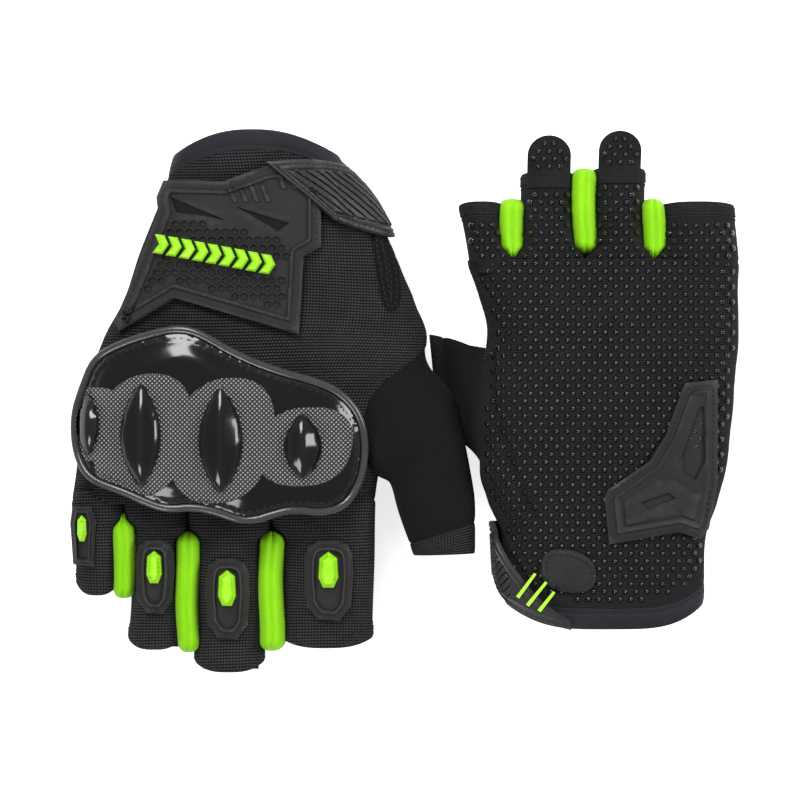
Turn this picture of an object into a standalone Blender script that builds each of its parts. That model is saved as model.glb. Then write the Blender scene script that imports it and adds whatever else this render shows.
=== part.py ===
"""A pair of half-finger riding gloves, laid side by side on a table.

The right-hand glove lies palm down and the left-hand glove palm up. Both come from the same
functions: each is drawn in a hand frame in millimetres, u across the hand towards the thumb,
v from the cuff to the fingertips and w up out of the back of the hand, and is then laid on the
table by its own placing. The left glove is the mirror twin, in the looser pose it lies in.
"""

import math

import bmesh
import bpy
import numpy as np

MM = 0.001

# Driving dimensions, in millimetres.
RIGHT_LENGTH = 123.0  # cuff to knuckle line
RIGHT_BREADTH = 101.0  # across the knuckle line
LEFT_LENGTH = 121.0
LEFT_BREADTH = 89.0
HAND_DEPTH = 28.6  # back to palm
FABRIC = 1.6  # wall of the knit and palm panels
CLEARANCE = 0.3  # between pieces that meet edge to edge
SKIN_CLEARANCE = 0.8  # under a piece laid over a curved one
BINDING_WIDTH = 9.0
BINDING_PROUD = 0.4
MOUTH_ARCH = 8.0  # how far the sides of the cuff are cut back
STALL_DEPTH = 25.0
FOAM_THICK = 2.2
GUARD_THICK = 2.2
GUARD_LENGTH = 66.0
GUARD_DOME = 3.0
RIDGE_RISE = 4.6
PIPING_DIAMETER = 2.6
PAD_THICK = 2.4
INSERT_THICK = 2.4
STRAP_THICK = 2.2
EMBLEM_RISE = 2.4
LOOP_THICK = 1.1
SLIDER_THICK = 1.8
SLIDER_DROP = 3.3  # from the palm skin to the slider's flat face
STRAP_END = -0.10  # where the sewn strap stops, in radians past the thumb-side seam
STRAP_TAB_START = -0.125
TAB_LENGTH = 12.0
TAB_THICK = 1.6
THUMB_DEPTH = 19.0

BACK_POWER = 2.4  # roundness of the cross-section above and below the side seams
PALM_POWER = 4.0
STALL_POWER = 2.4

# Heights of the pieces above the skin they are laid on.
TRIM_BASE = SKIN_CLEARANCE + BINDING_PROUD + 0.1
TRIM_TOP = TRIM_BASE + STRAP_THICK
FOAM_TOP = SKIN_CLEARANCE + FOAM_THICK
GUARD_BASE = FOAM_TOP + 0.7
GUARD_TOP = GUARD_BASE + GUARD_THICK + GUARD_DOME + RIDGE_RISE
LOOP_TOP = SKIN_CLEARANCE + LOOP_THICK
TAB_BASE = LOOP_TOP + 0.6
TAB_TOP = TAB_BASE + STRAP_THICK
PAD_TOP = SKIN_CLEARANCE + PAD_THICK
FINGERS = ("little", "ring", "middle", "index")

# Outlines in plan. The guard's edges are shares of its span and length; the panel's and the
# slider's are millimetres in the hand frame, from the middle of the hand and from the cuff.
GUARD_TOP_EDGE = [
    (0.0, 0.45), (0.03, 0.31), (0.07, 0.16), (0.16, 0.08), (0.30, 0.015), (0.38, 0.0), (0.45, 0.03),
    (0.56, 0.13), (0.69, 0.21), (0.86, 0.28), (0.94, 0.36), (0.99, 0.48),
]
GUARD_LOW_EDGE = [
    (1.0, 0.65), (0.98, 0.80), (0.93, 0.92), (0.85, 0.965), (0.75, 0.945), (0.69, 0.965), (0.62, 1.0),
    (0.56, 0.995), (0.50, 0.96), (0.42, 0.93), (0.33, 0.945), (0.26, 0.91), (0.18, 0.855), (0.09, 0.81),
    (0.04, 0.75), (0.005, 0.62),
]
# Each ridge: its place across the guard, where it starts and ends along it, and its half width in mm.
RIDGES = [(0.07, 0.33, 0.64, 3.4), (0.24, 0.29, 0.80, 6.0), (0.505, 0.31, 0.85, 6.6), (0.77, 0.44, 0.77, 5.6)]
WRIST_PANEL = [
    (-47.0, 66.5), (-39.5, 48.5), (-30.5, 27.0), (-31.3, 22.0), (-29.0, 16.5), (-8.5, 17.2), (5.5, 12.3),
    (23.5, 10.6), (23.5, 38.5), (17.8, 42.0), (16.2, 67.5), (-24.8, 55.5), (-46.6, 68.0),
]
EMBLEM_FROM, EMBLEM_TO = -30.0, 7.5
SLIDER = [
    (-35.5, 82.0), (-25.1, 80.9), (-24.1, 79.2), (-18.5, 63.7), (-13.5, 55.4), (0.0, 46.0), (1.3, 43.5),
    (-0.3, 28.0), (-23.1, 32.0), (-30.4, 29.7), (-33.5, 33.0), (-36.0, 47.5),
]


def make_material(name, colour, roughness, metallic=0.0):
    """A Principled material of one colour."""
    material = bpy.data.materials.new(name)
    material.use_nodes = True
    shader = material.node_tree.nodes["Principled BSDF"]
    shader.inputs["Base Color"].default_value = (*colour, 1.0)
    shader.inputs["Roughness"].default_value = roughness
    shader.inputs["Metallic"].default_value = metallic
    return material


def make_materials():
    return {
        "knit": make_material("knit_fabric", (0.018, 0.018, 0.019), 0.9),
        "palm": make_material("grip_fabric", (0.014, 0.014, 0.015), 0.8),
        "suede": make_material("suede_fabric", (0.020, 0.020, 0.022), 0.95),
        "binding": make_material("neoprene_binding", (0.012, 0.013, 0.017), 0.7),
        "gusset": make_material("stretch_gusset", (0.42, 0.95, 0.03), 0.6),
        "trim": make_material("moulded_trim", (0.045, 0.042, 0.042), 0.6),
        "bright": make_material("moulded_bright", (0.40, 0.90, 0.02), 0.45),
        "guard": make_material("guard_shell", (0.010, 0.010, 0.011), 0.12),
        "piping": make_material("guard_piping", (0.030, 0.030, 0.032), 0.2),
        "foam": make_material("guard_foam", (0.03, 0.03, 0.03), 0.95),
        "loop": make_material("loop_patch", (0.025, 0.025, 0.027), 0.95),
    }


def smooth_curve(knots, values, at):
    """A curve through the knots with no overshoot: cubic steps with limited slopes."""
    knots = np.asarray(knots, float)
    values = np.asarray(values, float)
    at = np.clip(np.asarray(at, float), knots[0], knots[-1])
    slopes = np.diff(values) / np.diff(knots)
    product = slopes[:-1] * slopes[1:]
    middle = np.where(product > 0, 2 * product / (slopes[:-1] + slopes[1:] + 1e-12), 0.0)
    tangent = np.concatenate([slopes[:1], middle, slopes[-1:]])
    i = np.clip(np.searchsorted(knots, at, side="right") - 1, 0, len(slopes) - 1)
    step = knots[i + 1] - knots[i]
    x = (at - knots[i]) / step
    rise = (3 - 2 * x) * x * x
    return (
        values[i] * (1 - rise)
        + values[i + 1] * rise
        + step * tangent[i] * x * (1 - x) ** 2
        - step * tangent[i + 1] * x * x * (1 - x)
    )


class Form:
    """A soft tube: at each v a rounded section with its own centre, half width and half depth."""

    def __init__(self, stations, back_power, palm_power):
        self.v, self.low, self.high, self.middle, self.half = map(np.array, zip(*stations))
        self.powers = {1: back_power, -1: palm_power}

    def section(self, v):
        low, high, middle, half = (
            smooth_curve(self.v, values, v)
            for values in (self.low, self.high, self.middle, self.half)
        )
        return (low + high) / 2, (high - low) / 2, middle, half

    def at_share(self, t, v, lift, side):
        """The point a share t (-1 to 1) across the section, lift outside the skin."""
        centre, wide, middle, half = self.section(v)
        power = self.powers[side]
        fall = np.maximum(1 - np.abs(t) ** power, 0) ** (1 / power)
        return np.stack([centre + (wide + lift) * t, v + 0 * t, middle + side * (half + lift) * fall], -1)

    def at_angle(self, angle, v, lift):
        """The same by angle: 0 at the thumb side, a quarter turn at the back of the hand."""
        side = np.where(np.sin(angle) >= 0, 1, -1)
        power = np.where(side > 0, self.powers[1], self.powers[-1])
        share = np.sign(np.cos(angle)) * np.abs(np.cos(angle)) ** (2 / power)
        centre, wide, middle, half = self.section(v)
        rise = np.abs(np.sin(angle)) ** (2 / power)
        return np.stack([centre + (wide + lift) * share, v, middle + side * (half + lift) * rise], -1)

    def over(self, u, v, lift, side, seen=0.0):
        """The point over plan position u, v, which is exact at the height named by seen."""
        centre, wide, _, _ = self.section(v)
        share = np.clip((u - centre) / (wide + seen), -0.985, 0.985)
        return self.at_share(share, v, lift, side)


class Glove:
    """One glove's pose: its forms, its fingers and thumb, and where it lies on the table."""

    def __init__(self, side, length, breadth, outline, heights, fingers, thumb, lift_to):
        self.side = side
        self.length = length
        half = HAND_DEPTH / 2
        scale = breadth / (outline[-1][2] - outline[-1][1])
        heights = dict(heights)
        levels = smooth_curve(list(heights), list(heights.values()), [row[0] for row in outline])
        self.scale = scale
        self.hand = Form(
            [
                (share * length, low * scale, high * scale, level + half, half)
                for (share, low, high), level in zip(outline, levels)
            ],
            BACK_POWER,
            PALM_POWER,
        )
        self.fingers = {name: self.finger(*values) for name, values in zip(FINGERS, fingers)}
        self.thumb = [
            (np.array(outer) * [scale, 1], np.array(crotch) * [scale, 1], middle, depth / 2)
            for outer, crotch, middle, depth in thumb
        ]
        self.lift_to = lift_to

    def finger(self, low, high, reach, level, tip_level):
        """A finger stall as a form, from just past the knuckle line to its open end."""
        start = self.length + 0.5
        half = STALL_DEPTH / 2
        low, high = low * self.scale, high * self.scale
        stations = [
            (start, low, high, level + half, half),
            (start + reach, low, high, tip_level + half * 0.88, half * 0.88),
        ]
        return Form(stations, STALL_POWER, STALL_POWER)

    def place(self, points):
        """Hand frame, in millimetres, to the table, in metres."""
        u, v, w = np.moveaxis(np.asarray(points, float), -1, 0)
        if self.side == "right":
            return np.stack([u - 50.65, 89.55 - v, w], -1) * MM
        return np.stack([67.15 - u, v - 74.95, self.lift_to - w], -1) * MM


def make_pivot(glove, name, at):
    """An empty on a joint's axis: what moves with the joint is its child."""
    pivot = bpy.data.objects.new(f"{glove.side}_{name}_pivot", None)
    pivot.empty_display_size = 0.01
    pivot.location = glove.place(at)
    bpy.context.scene.collection.objects.link(pivot)
    return pivot


def add_mesh(glove, name, points, faces, material, pivot=None):
    """A mesh object from points in the hand frame, its origin on the pivot when it has one."""
    placed = glove.place(points)
    if pivot:
        placed = placed - np.array(pivot.location)
    mesh = bpy.data.meshes.new(f"{glove.side}_{name}")
    mesh.from_pydata(placed.tolist(), [], faces)
    shape = bmesh.new()
    shape.from_mesh(mesh)
    bmesh.ops.remove_doubles(shape, verts=shape.verts, dist=1e-7)
    bmesh.ops.recalc_face_normals(shape, faces=shape.faces)
    shape.to_mesh(mesh)
    shape.free()
    mesh.materials.append(material)
    mesh.shade_smooth()
    mesh.set_sharp_from_angle(angle=math.radians(40))
    made = bpy.data.objects.new(f"{glove.side}_{name}", mesh)
    made.parent = pivot
    bpy.context.scene.collection.objects.link(made)
    return made


def add_shell(glove, name, outer, inner, material, pivot=None, around=False):
    """A closed solid between two grids of points; around joins the last column to the first."""
    rows, columns = outer.shape[:2]
    count = rows * columns
    points = np.concatenate([outer.reshape(-1, 3), inner.reshape(-1, 3)])
    faces = []
    last = columns if around else columns - 1
    for i in range(rows - 1):
        for j in range(last):
            k = (j + 1) % columns
            quad = [i * columns + j, i * columns + k, (i + 1) * columns + k, (i + 1) * columns + j]
            faces += [quad, [count + n for n in reversed(quad)]]
    for j in range(last):
        k = (j + 1) % columns
        for row in (0, (rows - 1) * columns):
            faces.append([row + j, row + k, count + row + k, count + row + j])
    if not around:
        for i in range(rows - 1):
            for column in (0, columns - 1):
                a, b = i * columns + column, (i + 1) * columns + column
                faces.append([a, b, count + b, count + a])
    return add_mesh(glove, name, points, faces, material, pivot)


def add_patch(glove, name, form, side, outline, centre, rings, material, pivot=None, rise=None):
    """A piece laid on a form: rings of its outline shrink to the centre.

    Each ring is (share of the outline, height of the under face, height of the top face), and
    rise adds a height that depends on the place.
    """
    outline = np.asarray(outline, float)
    centre = np.asarray(centre, float)
    outer, inner = [], []
    seen = rings[0][2]
    for share, base, top in rings:
        plan = centre + share * (outline - centre)
        extra = rise(plan[:, 0], plan[:, 1]) if rise else 0.0
        outer.append(form.over(plan[:, 0], plan[:, 1], top + extra, side, seen))
        inner.append(form.over(plan[:, 0], plan[:, 1], base + 0.7 * extra, side, seen))
    outer, inner = np.array(outer), np.array(inner)
    rows, columns = outer.shape[:2]
    points = np.concatenate([outer.reshape(-1, 3), inner.reshape(-1, 3)])
    count = rows * columns
    faces = []
    for j in range(columns):
        k = (j + 1) % columns
        faces.append([j, k, count + k, count + j])
        for i in range(rows - 1):
            quad = [i * columns + j, i * columns + k, (i + 1) * columns + k, (i + 1) * columns + j]
            faces += [quad, [count + n for n in reversed(quad)]]
    if rings[-1][0] > 0:
        first = (rows - 1) * columns
        top = list(range(first, first + columns))
        faces += [top, [count + n for n in reversed(top)]]
    faces = [
        [n for i, n in enumerate(face) if points[n].tolist() != points[face[i - 1]].tolist()]
        for face in faces
    ]
    return add_mesh(glove, name, points, [face for face in faces if len(face) > 2], material, pivot)


def resampled(points, step):
    """The closed outline with every side cut into equal lengths no longer than step."""
    points = np.asarray(points, float)
    cut = []
    for a, b in zip(points, np.roll(points, -1, axis=0)):
        parts = max(1, math.ceil(np.linalg.norm(b - a) / step))
        cut += [a + (b - a) * i / parts for i in range(parts)]
    return np.array(cut)


def mouth_line(angle):
    """How far the cuff's edge stands back from the front of the mouth, round the wrist."""
    return MOUTH_ARCH * np.cos(angle) ** 2


def thumb_slot(glove, v):
    """Half the height of the thumb hole at v."""
    outer, crotch, _, half = glove.thumb[0]
    middle, reach = (outer[1] + crotch[1]) / 2, abs(crotch[1] - outer[1]) / 2 - 2.5
    return 0.5 * half * np.sqrt(np.maximum(1 - ((v - middle) / reach) ** 2, 0))


def add_panel(glove, name, side, material):
    """Half of the hand's skin, from the cuff binding to the knuckle line."""
    rows, columns = 13, 15
    share = np.linspace(0, 1, rows)[:, None]
    turn = np.linspace(0, 1, columns)[None, :]
    start = mouth_line(turn * math.pi) + BINDING_WIDTH + CLEARANCE
    v = start + share * (glove.length - start)
    half = glove.hand.section(v)[3]
    power = glove.hand.powers[side]
    thumb_edge = np.arcsin(((CLEARANCE / 2 + thumb_slot(glove, v)) / half) ** (power / 2))
    far_edge = np.arcsin((CLEARANCE / 2 / half) ** (power / 2))
    angle = side * (thumb_edge + turn * (math.pi - thumb_edge - far_edge))
    outer = glove.hand.at_angle(angle, v, 0.0)
    inner = glove.hand.at_angle(angle, v, -FABRIC)
    inner[:, [0, -1], 2] = outer[:, [0, -1], 2]
    add_shell(glove, name, outer, inner, material)


def add_binding(glove, material):
    """The band round the mouth of the cuff."""
    angle = np.linspace(0, 2 * math.pi, 32, endpoint=False)[None, :]
    v = mouth_line(angle) + np.linspace(0, BINDING_WIDTH, 3)[:, None]
    angle = angle + 0 * v
    outer = glove.hand.at_angle(angle, v, BINDING_PROUD)
    inner = glove.hand.at_angle(angle, v, -FABRIC)
    add_shell(glove, "cuff_binding", outer, inner, material, around=True)


def add_stall(glove, finger, material, pivot):
    """A finger stall: a tube open at both ends."""
    form = glove.fingers[finger]
    angle = np.linspace(0, 2 * math.pi, 20, endpoint=False)[None, :] + 0 * np.zeros((3, 1))
    v = np.linspace(form.v[0], form.v[-1], 3)[:, None] + 0 * angle
    outer = form.at_angle(angle, v, 0.0)
    inner = form.at_angle(angle, v, -FABRIC)
    add_shell(glove, f"{finger}_stall", outer, inner, material, pivot, around=True)


def add_gusset(glove, first, second, material):
    """The folded strip between two fingers: a rounded leaf standing in the gap."""
    a, b = glove.fingers[first], glove.fingers[second]
    low, high = a.high[0] + CLEARANCE, b.low[0] - CLEARANCE
    start = glove.length + 0.6
    end = min(a.v[-1], b.v[-1]) + 1.5
    middle, half = (a.middle + b.middle)[0] / 2, STALL_DEPTH / 2 - 1.0
    corner = (end - start) * 0.35
    angle = np.linspace(-math.pi / 2, math.pi / 2, 9)
    arc_v = end - corner + corner * np.cos(angle)
    arc_w = middle - 0.5 + (half - 1.5) * np.sin(angle)
    edge_v = np.concatenate([[start], arc_v, [start]])
    edge_w = np.concatenate([arc_w[:1], arc_w, arc_w[-1:]])
    near = np.stack([np.full_like(edge_v, low), edge_v, edge_w], -1)
    far = np.stack([np.full_like(edge_v, high), edge_v, edge_w], -1)
    count = len(edge_v)
    faces = [list(range(count)), list(range(2 * count - 1, count - 1, -1))]
    faces += [[i, (i + 1) % count, count + (i + 1) % count, count + i] for i in range(count)]
    add_mesh(glove, f"gusset_{first}_{second}", np.concatenate([near, far]), faces, material)


def thumb_grid(glove, wall):
    """Rings of the thumb stall. The first is seated on the side of the hand, the rest are free."""
    angle = np.linspace(0, 2 * math.pi, 20, endpoint=False)
    rings = []
    for number, (outer, crotch, middle, half) in enumerate(glove.thumb):
        centre, reach = (outer + crotch) / 2, (crotch - outer) / 2
        reach = reach * (1 - wall / np.linalg.norm(reach))
        plan = centre + np.cos(angle)[:, None] * reach
        w = middle + (half - wall) * np.sign(np.sin(angle)) * np.abs(np.sin(angle)) ** 0.85
        if number == 0:
            hand_centre, wide, level, depth = glove.hand.section(plan[:, 1])
            power = np.where(w > level, BACK_POWER, PALM_POWER)
            drop = np.clip(np.abs(w - level) / depth, 0, 0.93)
            plan[:, 0] = hand_centre + wide * (1 - drop**power) ** (1 / power) + SKIN_CLEARANCE
        rings.append(np.column_stack([plan, w]))
    return np.array(rings)


def add_thumb(glove, material, pivot):
    add_shell(
        glove, "thumb_stall", thumb_grid(glove, 0.0), thumb_grid(glove, FABRIC), material, pivot,
        around=True,
    )


def guard_plan(glove):
    """The guard's outline in the hand frame, and its centre."""
    span = glove.guard_span
    start = glove.guard_end - GUARD_LENGTH
    points = [
        (span[0] + x * (span[1] - span[0]), start + y * GUARD_LENGTH)
        for x, y in GUARD_TOP_EDGE + GUARD_LOW_EDGE
    ]
    centre = np.array([span[0] + 0.5 * (span[1] - span[0]), start + 0.55 * GUARD_LENGTH])
    return np.array(points), centre


def inset(outline, centre, distance):
    """The outline drawn in towards the centre by a distance."""
    away = outline - centre
    reach = np.linalg.norm(away, axis=1, keepdims=True)
    return centre + away * (1 - distance / reach)


def ridge_rise(glove):
    """The height the four knuckle ridges add, as a function of the place on the guard."""
    span = glove.guard_span
    start = glove.guard_end - GUARD_LENGTH

    def rise(u, v):
        total = np.zeros_like(u)
        for across, first, last, half in RIDGES:
            middle = start + (first + last) / 2 * GUARD_LENGTH
            reach = (last - first) / 2 * GUARD_LENGTH
            near = np.maximum(1 - ((v - middle) / reach) ** 2, 0)
            side = np.maximum(1 - np.abs(u - span[0] - across * (span[1] - span[0])) / (1.5 * half), 0)
            total = np.maximum(total, RIDGE_RISE * near * side)
        return total

    return rise


def add_guard(glove, materials):
    """The knuckle guard: foam, a domed shell over it, and the piping round its rim."""
    outline, centre = guard_plan(glove)
    outline = resampled(outline, 8.5)
    end = glove.length - 1.0
    foam = inset(outline, centre, 7.0)
    foam[:, 1] = np.minimum(foam[:, 1], end)
    rings = [(share, SKIN_CLEARANCE, FOAM_TOP) for share in (1.0, 0.6, 0.25)]
    add_patch(glove, "knuckle_foam", glove.hand, 1, foam[::2], centre, rings, materials["foam"])
    shell = inset(outline, centre, PIPING_DIAMETER + CLEARANCE + 1.0)
    top = GUARD_BASE + GUARD_THICK
    dome = GUARD_DOME
    rings = [
        (1.0, GUARD_BASE, top),
        (0.88, GUARD_BASE + 0.5 * dome, top + 0.6 * dome),
        (0.72, GUARD_BASE + 0.8 * dome, top + dome),
        (0.48, GUARD_BASE + 0.8 * dome, top + dome),
        (0.08, GUARD_BASE + 0.8 * dome, top + dome),
    ]
    add_patch(
        glove, "knuckle_guard", glove.hand, 1, shell, centre, rings, materials["guard"],
        rise=ridge_rise(glove),
    )
    add_piping(glove, inset(outline, centre, PIPING_DIAMETER / 2), materials["piping"])


def add_piping(glove, plan, material):
    """A round cord sewn in along the rim, as a closed curve with a round bevel."""
    lift = GUARD_BASE + PIPING_DIAMETER / 2
    points = glove.place(glove.hand.over(plan[:, 0], plan[:, 1], lift, 1, lift))
    curve = bpy.data.curves.new(f"{glove.side}_knuckle_piping", "CURVE")
    curve.dimensions = "3D"
    curve.bevel_depth = PIPING_DIAMETER / 2 * MM
    curve.bevel_resolution = 1
    spline = curve.splines.new("POLY")
    spline.points.add(len(points) - 1)
    for point, at in zip(spline.points, points):
        point.co = (*at, 1.0)
    spline.use_cyclic_u = True
    curve.materials.append(material)
    piping = bpy.data.objects.new(f"{glove.side}_knuckle_piping", curve)
    bpy.context.scene.collection.objects.link(piping)


def pad_outline(middle, start, length, width):
    """A long shield: cut corners at the knuckle end, and a narrower foot."""
    half = width / 2
    shape = [
        (-0.62, 0.0), (0.62, 0.0), (1.0, 0.22), (0.86, 0.80),
        (0.52, 1.0), (-0.52, 1.0), (-0.86, 0.80), (-1.0, 0.22),
    ]
    return np.array([(middle + x * half, start + y * length) for x, y in shape])


def add_finger_pad(glove, finger, materials, pivot):
    """A moulded pad on the back of a finger, and the bright insert in its middle."""
    form = glove.fingers[finger]
    across, start, length, width = glove.pads[finger]
    outline = pad_outline(across * glove.scale, form.v[0] + start, length, width)
    centre = outline.mean(axis=0)
    rings = [
        (1.0, SKIN_CLEARANCE, PAD_TOP - 0.9),
        (0.82, SKIN_CLEARANCE, PAD_TOP),
        (0.45, SKIN_CLEARANCE, PAD_TOP),
    ]
    seat = resampled(outline, 5.0)
    add_patch(glove, f"{finger}_pad", form, 1, seat, centre, rings, materials["trim"], pivot)
    gem = centre + (outline - centre) * 0.42
    base = PAD_TOP + CLEARANCE + 0.1
    rings = [(1.0, base, base + 0.8), (0.6, base, base + INSERT_THICK), (0.2, base, base + INSERT_THICK)]
    add_patch(glove, f"{finger}_insert", form, 1, gem, centre, rings, materials["bright"], pivot)


def add_wrist_panel(glove, materials):
    """The moulded panel on the back of the wrist, and its raised row of slanted bars."""
    outline = np.array([(u * glove.trim_scale, v + glove.trim_shift) for u, v in WRIST_PANEL])
    centre = np.array([-6.0 * glove.trim_scale, 33.0 + glove.trim_shift])
    rings = [(1.0, TRIM_BASE, TRIM_TOP - 0.9), (0.88, TRIM_BASE, TRIM_TOP), (0.5, TRIM_BASE, TRIM_TOP)]
    seat = resampled(outline, 7.0)
    add_patch(glove, "wrist_panel", glove.hand, 1, seat, centre, rings, materials["trim"])
    bars = 8
    u = np.repeat(np.linspace(EMBLEM_FROM, EMBLEM_TO, bars + 1), 2)[None, :] * glove.trim_scale
    raised = np.tile([0.0, EMBLEM_RISE], bars + 1)[None, :] * [[1.0], [1.0]]
    v = 38.5 + glove.trim_shift + 0.17 * (u + 11.0) + np.array([[0.0], [4.8]])
    slant = np.array([[0.7], [-0.7]])
    base = TRIM_TOP + CLEARANCE + 0.2
    outer = glove.hand.over(u + slant, v, base + 1.0 + raised, 1, base)
    inner = glove.hand.over(u + slant, v, base, 1, base)
    outer[:, 1::2, 0] += 0.6
    outer[:, 2::2, 0] += 0.4
    inner[:, 1::2, 0] += 0.6
    add_shell(glove, "wrist_emblem", outer, inner, materials["bright"])


def add_strap(glove, materials, pivot):
    """The wrist strap: a band from the panel round the thumb side, and its free tab on the palm."""
    across = np.linspace(0, 1, 8)[None, :]
    along = np.linspace(0, 1, 4)[:, None]
    first = glove.strap_from
    angle = first + (STRAP_END - first) * across + 0 * along
    low, high = 11.5 + 3.5 * across, 37.0 - 2.5 * across
    v = low + (high - low) * along + glove.trim_shift
    outer = glove.hand.at_angle(angle, v, TRIM_TOP)
    inner = glove.hand.at_angle(angle, v, TRIM_BASE)
    add_shell(glove, "strap_band", outer, inner, materials["trim"])
    angle = STRAP_TAB_START + (glove.tab_to - STRAP_TAB_START) * across + 0 * along
    low = 15.0 - 15.0 * across**0.8
    high = 32.5 - 3.0 * across - 26.0 * across**3
    v = low + (high - low) * along + glove.trim_shift
    outer = glove.hand.at_angle(angle, v, TAB_TOP)
    inner = glove.hand.at_angle(angle, v, TAB_BASE)
    add_shell(glove, "strap_tab", outer, inner, materials["trim"], pivot)


def add_loop_patch(glove, material):
    """The fuzzy patch that the strap tab presses onto."""
    low, high = glove.loop_span
    start = BINDING_WIDTH + 2.5 + glove.trim_shift
    outline = resampled([(low, start), (high, start + 1.5), (high, start + 16.0), (low, start + 13.0)], 7.0)
    rings = [(1.0, SKIN_CLEARANCE, LOOP_TOP), (0.5, SKIN_CLEARANCE, LOOP_TOP)]
    add_patch(glove, "loop_patch", glove.hand, -1, outline, outline.mean(axis=0), rings, material)


def add_slider(glove, material):
    """The palm slider at the heel of the hand, with a flat face in its middle."""
    outline = np.array([(u, v + glove.slider_shift) for u, v in SLIDER])
    centre = np.array([-22.0, 45.0 + glove.slider_shift])
    form = glove.hand
    rings = []
    for share, height in ((1.0, SLIDER_THICK * 0.6), (0.8, SLIDER_THICK), (0.55, None), (0.2, None)):
        plan = centre + share * (resampled(outline, 6.0) - centre)
        inner = form.over(plan[:, 0], plan[:, 1], SKIN_CLEARANCE, -1, SLIDER_THICK)
        if height is None:
            outer = inner.copy()
            outer[:, 2] = glove.slider_level
        else:
            outer = form.over(plan[:, 0], plan[:, 1], SKIN_CLEARANCE + height, -1, SLIDER_THICK)
        rings.append((outer, inner))
    outer = np.array([ring[0] for ring in rings])
    inner = np.array([ring[1] for ring in rings])
    rows, columns = outer.shape[:2]
    count = rows * columns
    points = np.concatenate([outer.reshape(-1, 3), inner.reshape(-1, 3)])
    faces = []
    for j in range(columns):
        k = (j + 1) % columns
        faces.append([j, k, count + k, count + j])
        for i in range(rows - 1):
            quad = [i * columns + j, i * columns + k, (i + 1) * columns + k, (i + 1) * columns + j]
            faces += [quad, [count + n for n in reversed(quad)]]
    top = list(range(count - columns, count))
    faces += [top, [count + n for n in reversed(top)]]
    add_mesh(glove, "palm_slider", points, faces, material)


def add_pull_tab(glove, finger, material, pivot):
    """A rounded tab sewn to the palm side of a fingertip, folded back or standing forward."""
    form = glove.fingers[finger]
    middle = (form.low[0] + form.high[0]) / 2
    half = (form.high[0] - form.low[0]) * 0.40
    hinge_v, hinge_w = form.v[-1] + CLEARANCE, form.middle[-1] - form.half[-1] - CLEARANCE
    angle = np.linspace(-math.pi / 2, math.pi / 2, 9)
    rounding = half * 0.9
    edge_u = np.concatenate([[-half], half * np.sin(angle), [half]])
    edge_v = np.concatenate([[0.2], TAB_LENGTH - rounding + rounding * np.cos(angle), [0.2]])
    edge_w = np.full_like(edge_v, CLEARANCE)
    if glove.tabs_folded:
        edge_v, edge_w = -edge_v, -edge_w
    step = -TAB_THICK if glove.tabs_folded else TAB_THICK
    near = np.stack([middle + edge_u, hinge_v + edge_v, hinge_w + edge_w], -1)
    far = near + [0, 0, step]
    count = len(edge_u)
    faces = [list(range(count)), list(range(2 * count - 1, count - 1, -1))]
    faces += [[i, (i + 1) % count, count + (i + 1) % count, count + i] for i in range(count)]
    add_mesh(glove, f"{finger}_pull_tab", np.concatenate([near, far]), faces, material, pivot)


def right_glove():
    """Palm down, fingers straight, thumb beside the hand."""
    glove = Glove(
        "right",
        RIGHT_LENGTH,
        RIGHT_BREADTH,
        outline=[
            (0.0, -24.0, 25.5), (0.105, -27.0, 31.5), (0.19, -30.5, 39.0), (0.325, -37.0, 47.5),
            (0.455, -42.5, 54.0), (0.555, -49.0, 58.5), (0.73, -56.0, 51.2), (0.92, -58.5, 42.5), (1.0, -60.0, 41.0),
        ],
        heights={0.0: 5.4, 0.26: 5.2, 0.42: SLIDER_DROP, 1.0: SLIDER_DROP},
        fingers=[
            (-59.0, -44.6, 30.0, 3.0, 3.2), (-39.4, -23.6, 48.0, 3.0, 3.4), (-18.4, 4.2, 55.5, 3.0, 3.4),
            (9.4, 39.9, 47.5, 3.0, 3.4),
        ],
        thumb=[
            ((60.1, 68.6), (42.6, 113.5), 18.0, THUMB_DEPTH),
            ((67.5, 89.1), (46.0, 117.0), 22.0, THUMB_DEPTH),
            ((71.5, 105.6), (48.5, 125.0), 24.0, THUMB_DEPTH),
            ((74.5, 123.0), (51.5, 134.0), 24.0, THUMB_DEPTH),
            ((74.6, 139.9), (53.8, 140.6), 23.5, THUMB_DEPTH - 1.0),
        ],
        lift_to=0.0,
    )
    glove.guard_span = (-59.5, 38.3)
    glove.guard_end = glove.length + 7.5
    glove.trim_scale, glove.trim_shift = 1.0, 0.0
    glove.strap_from, glove.tab_to = 0.70, -1.25
    glove.loop_span = (2.0, 22.0)
    glove.slider_shift, glove.slider_level = 0.0, 0.0
    glove.tabs_folded = True
    glove.pads = {
        "little": (-55.5, 0.8, 20.0, 9.0), "ring": (-31.6, 12.0, 24.5, 13.4),
        "middle": (-7.5, 18.0, 27.0, 15.4), "index": (26.0, 12.0, 27.0, 17.0),
    }
    return glove


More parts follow.
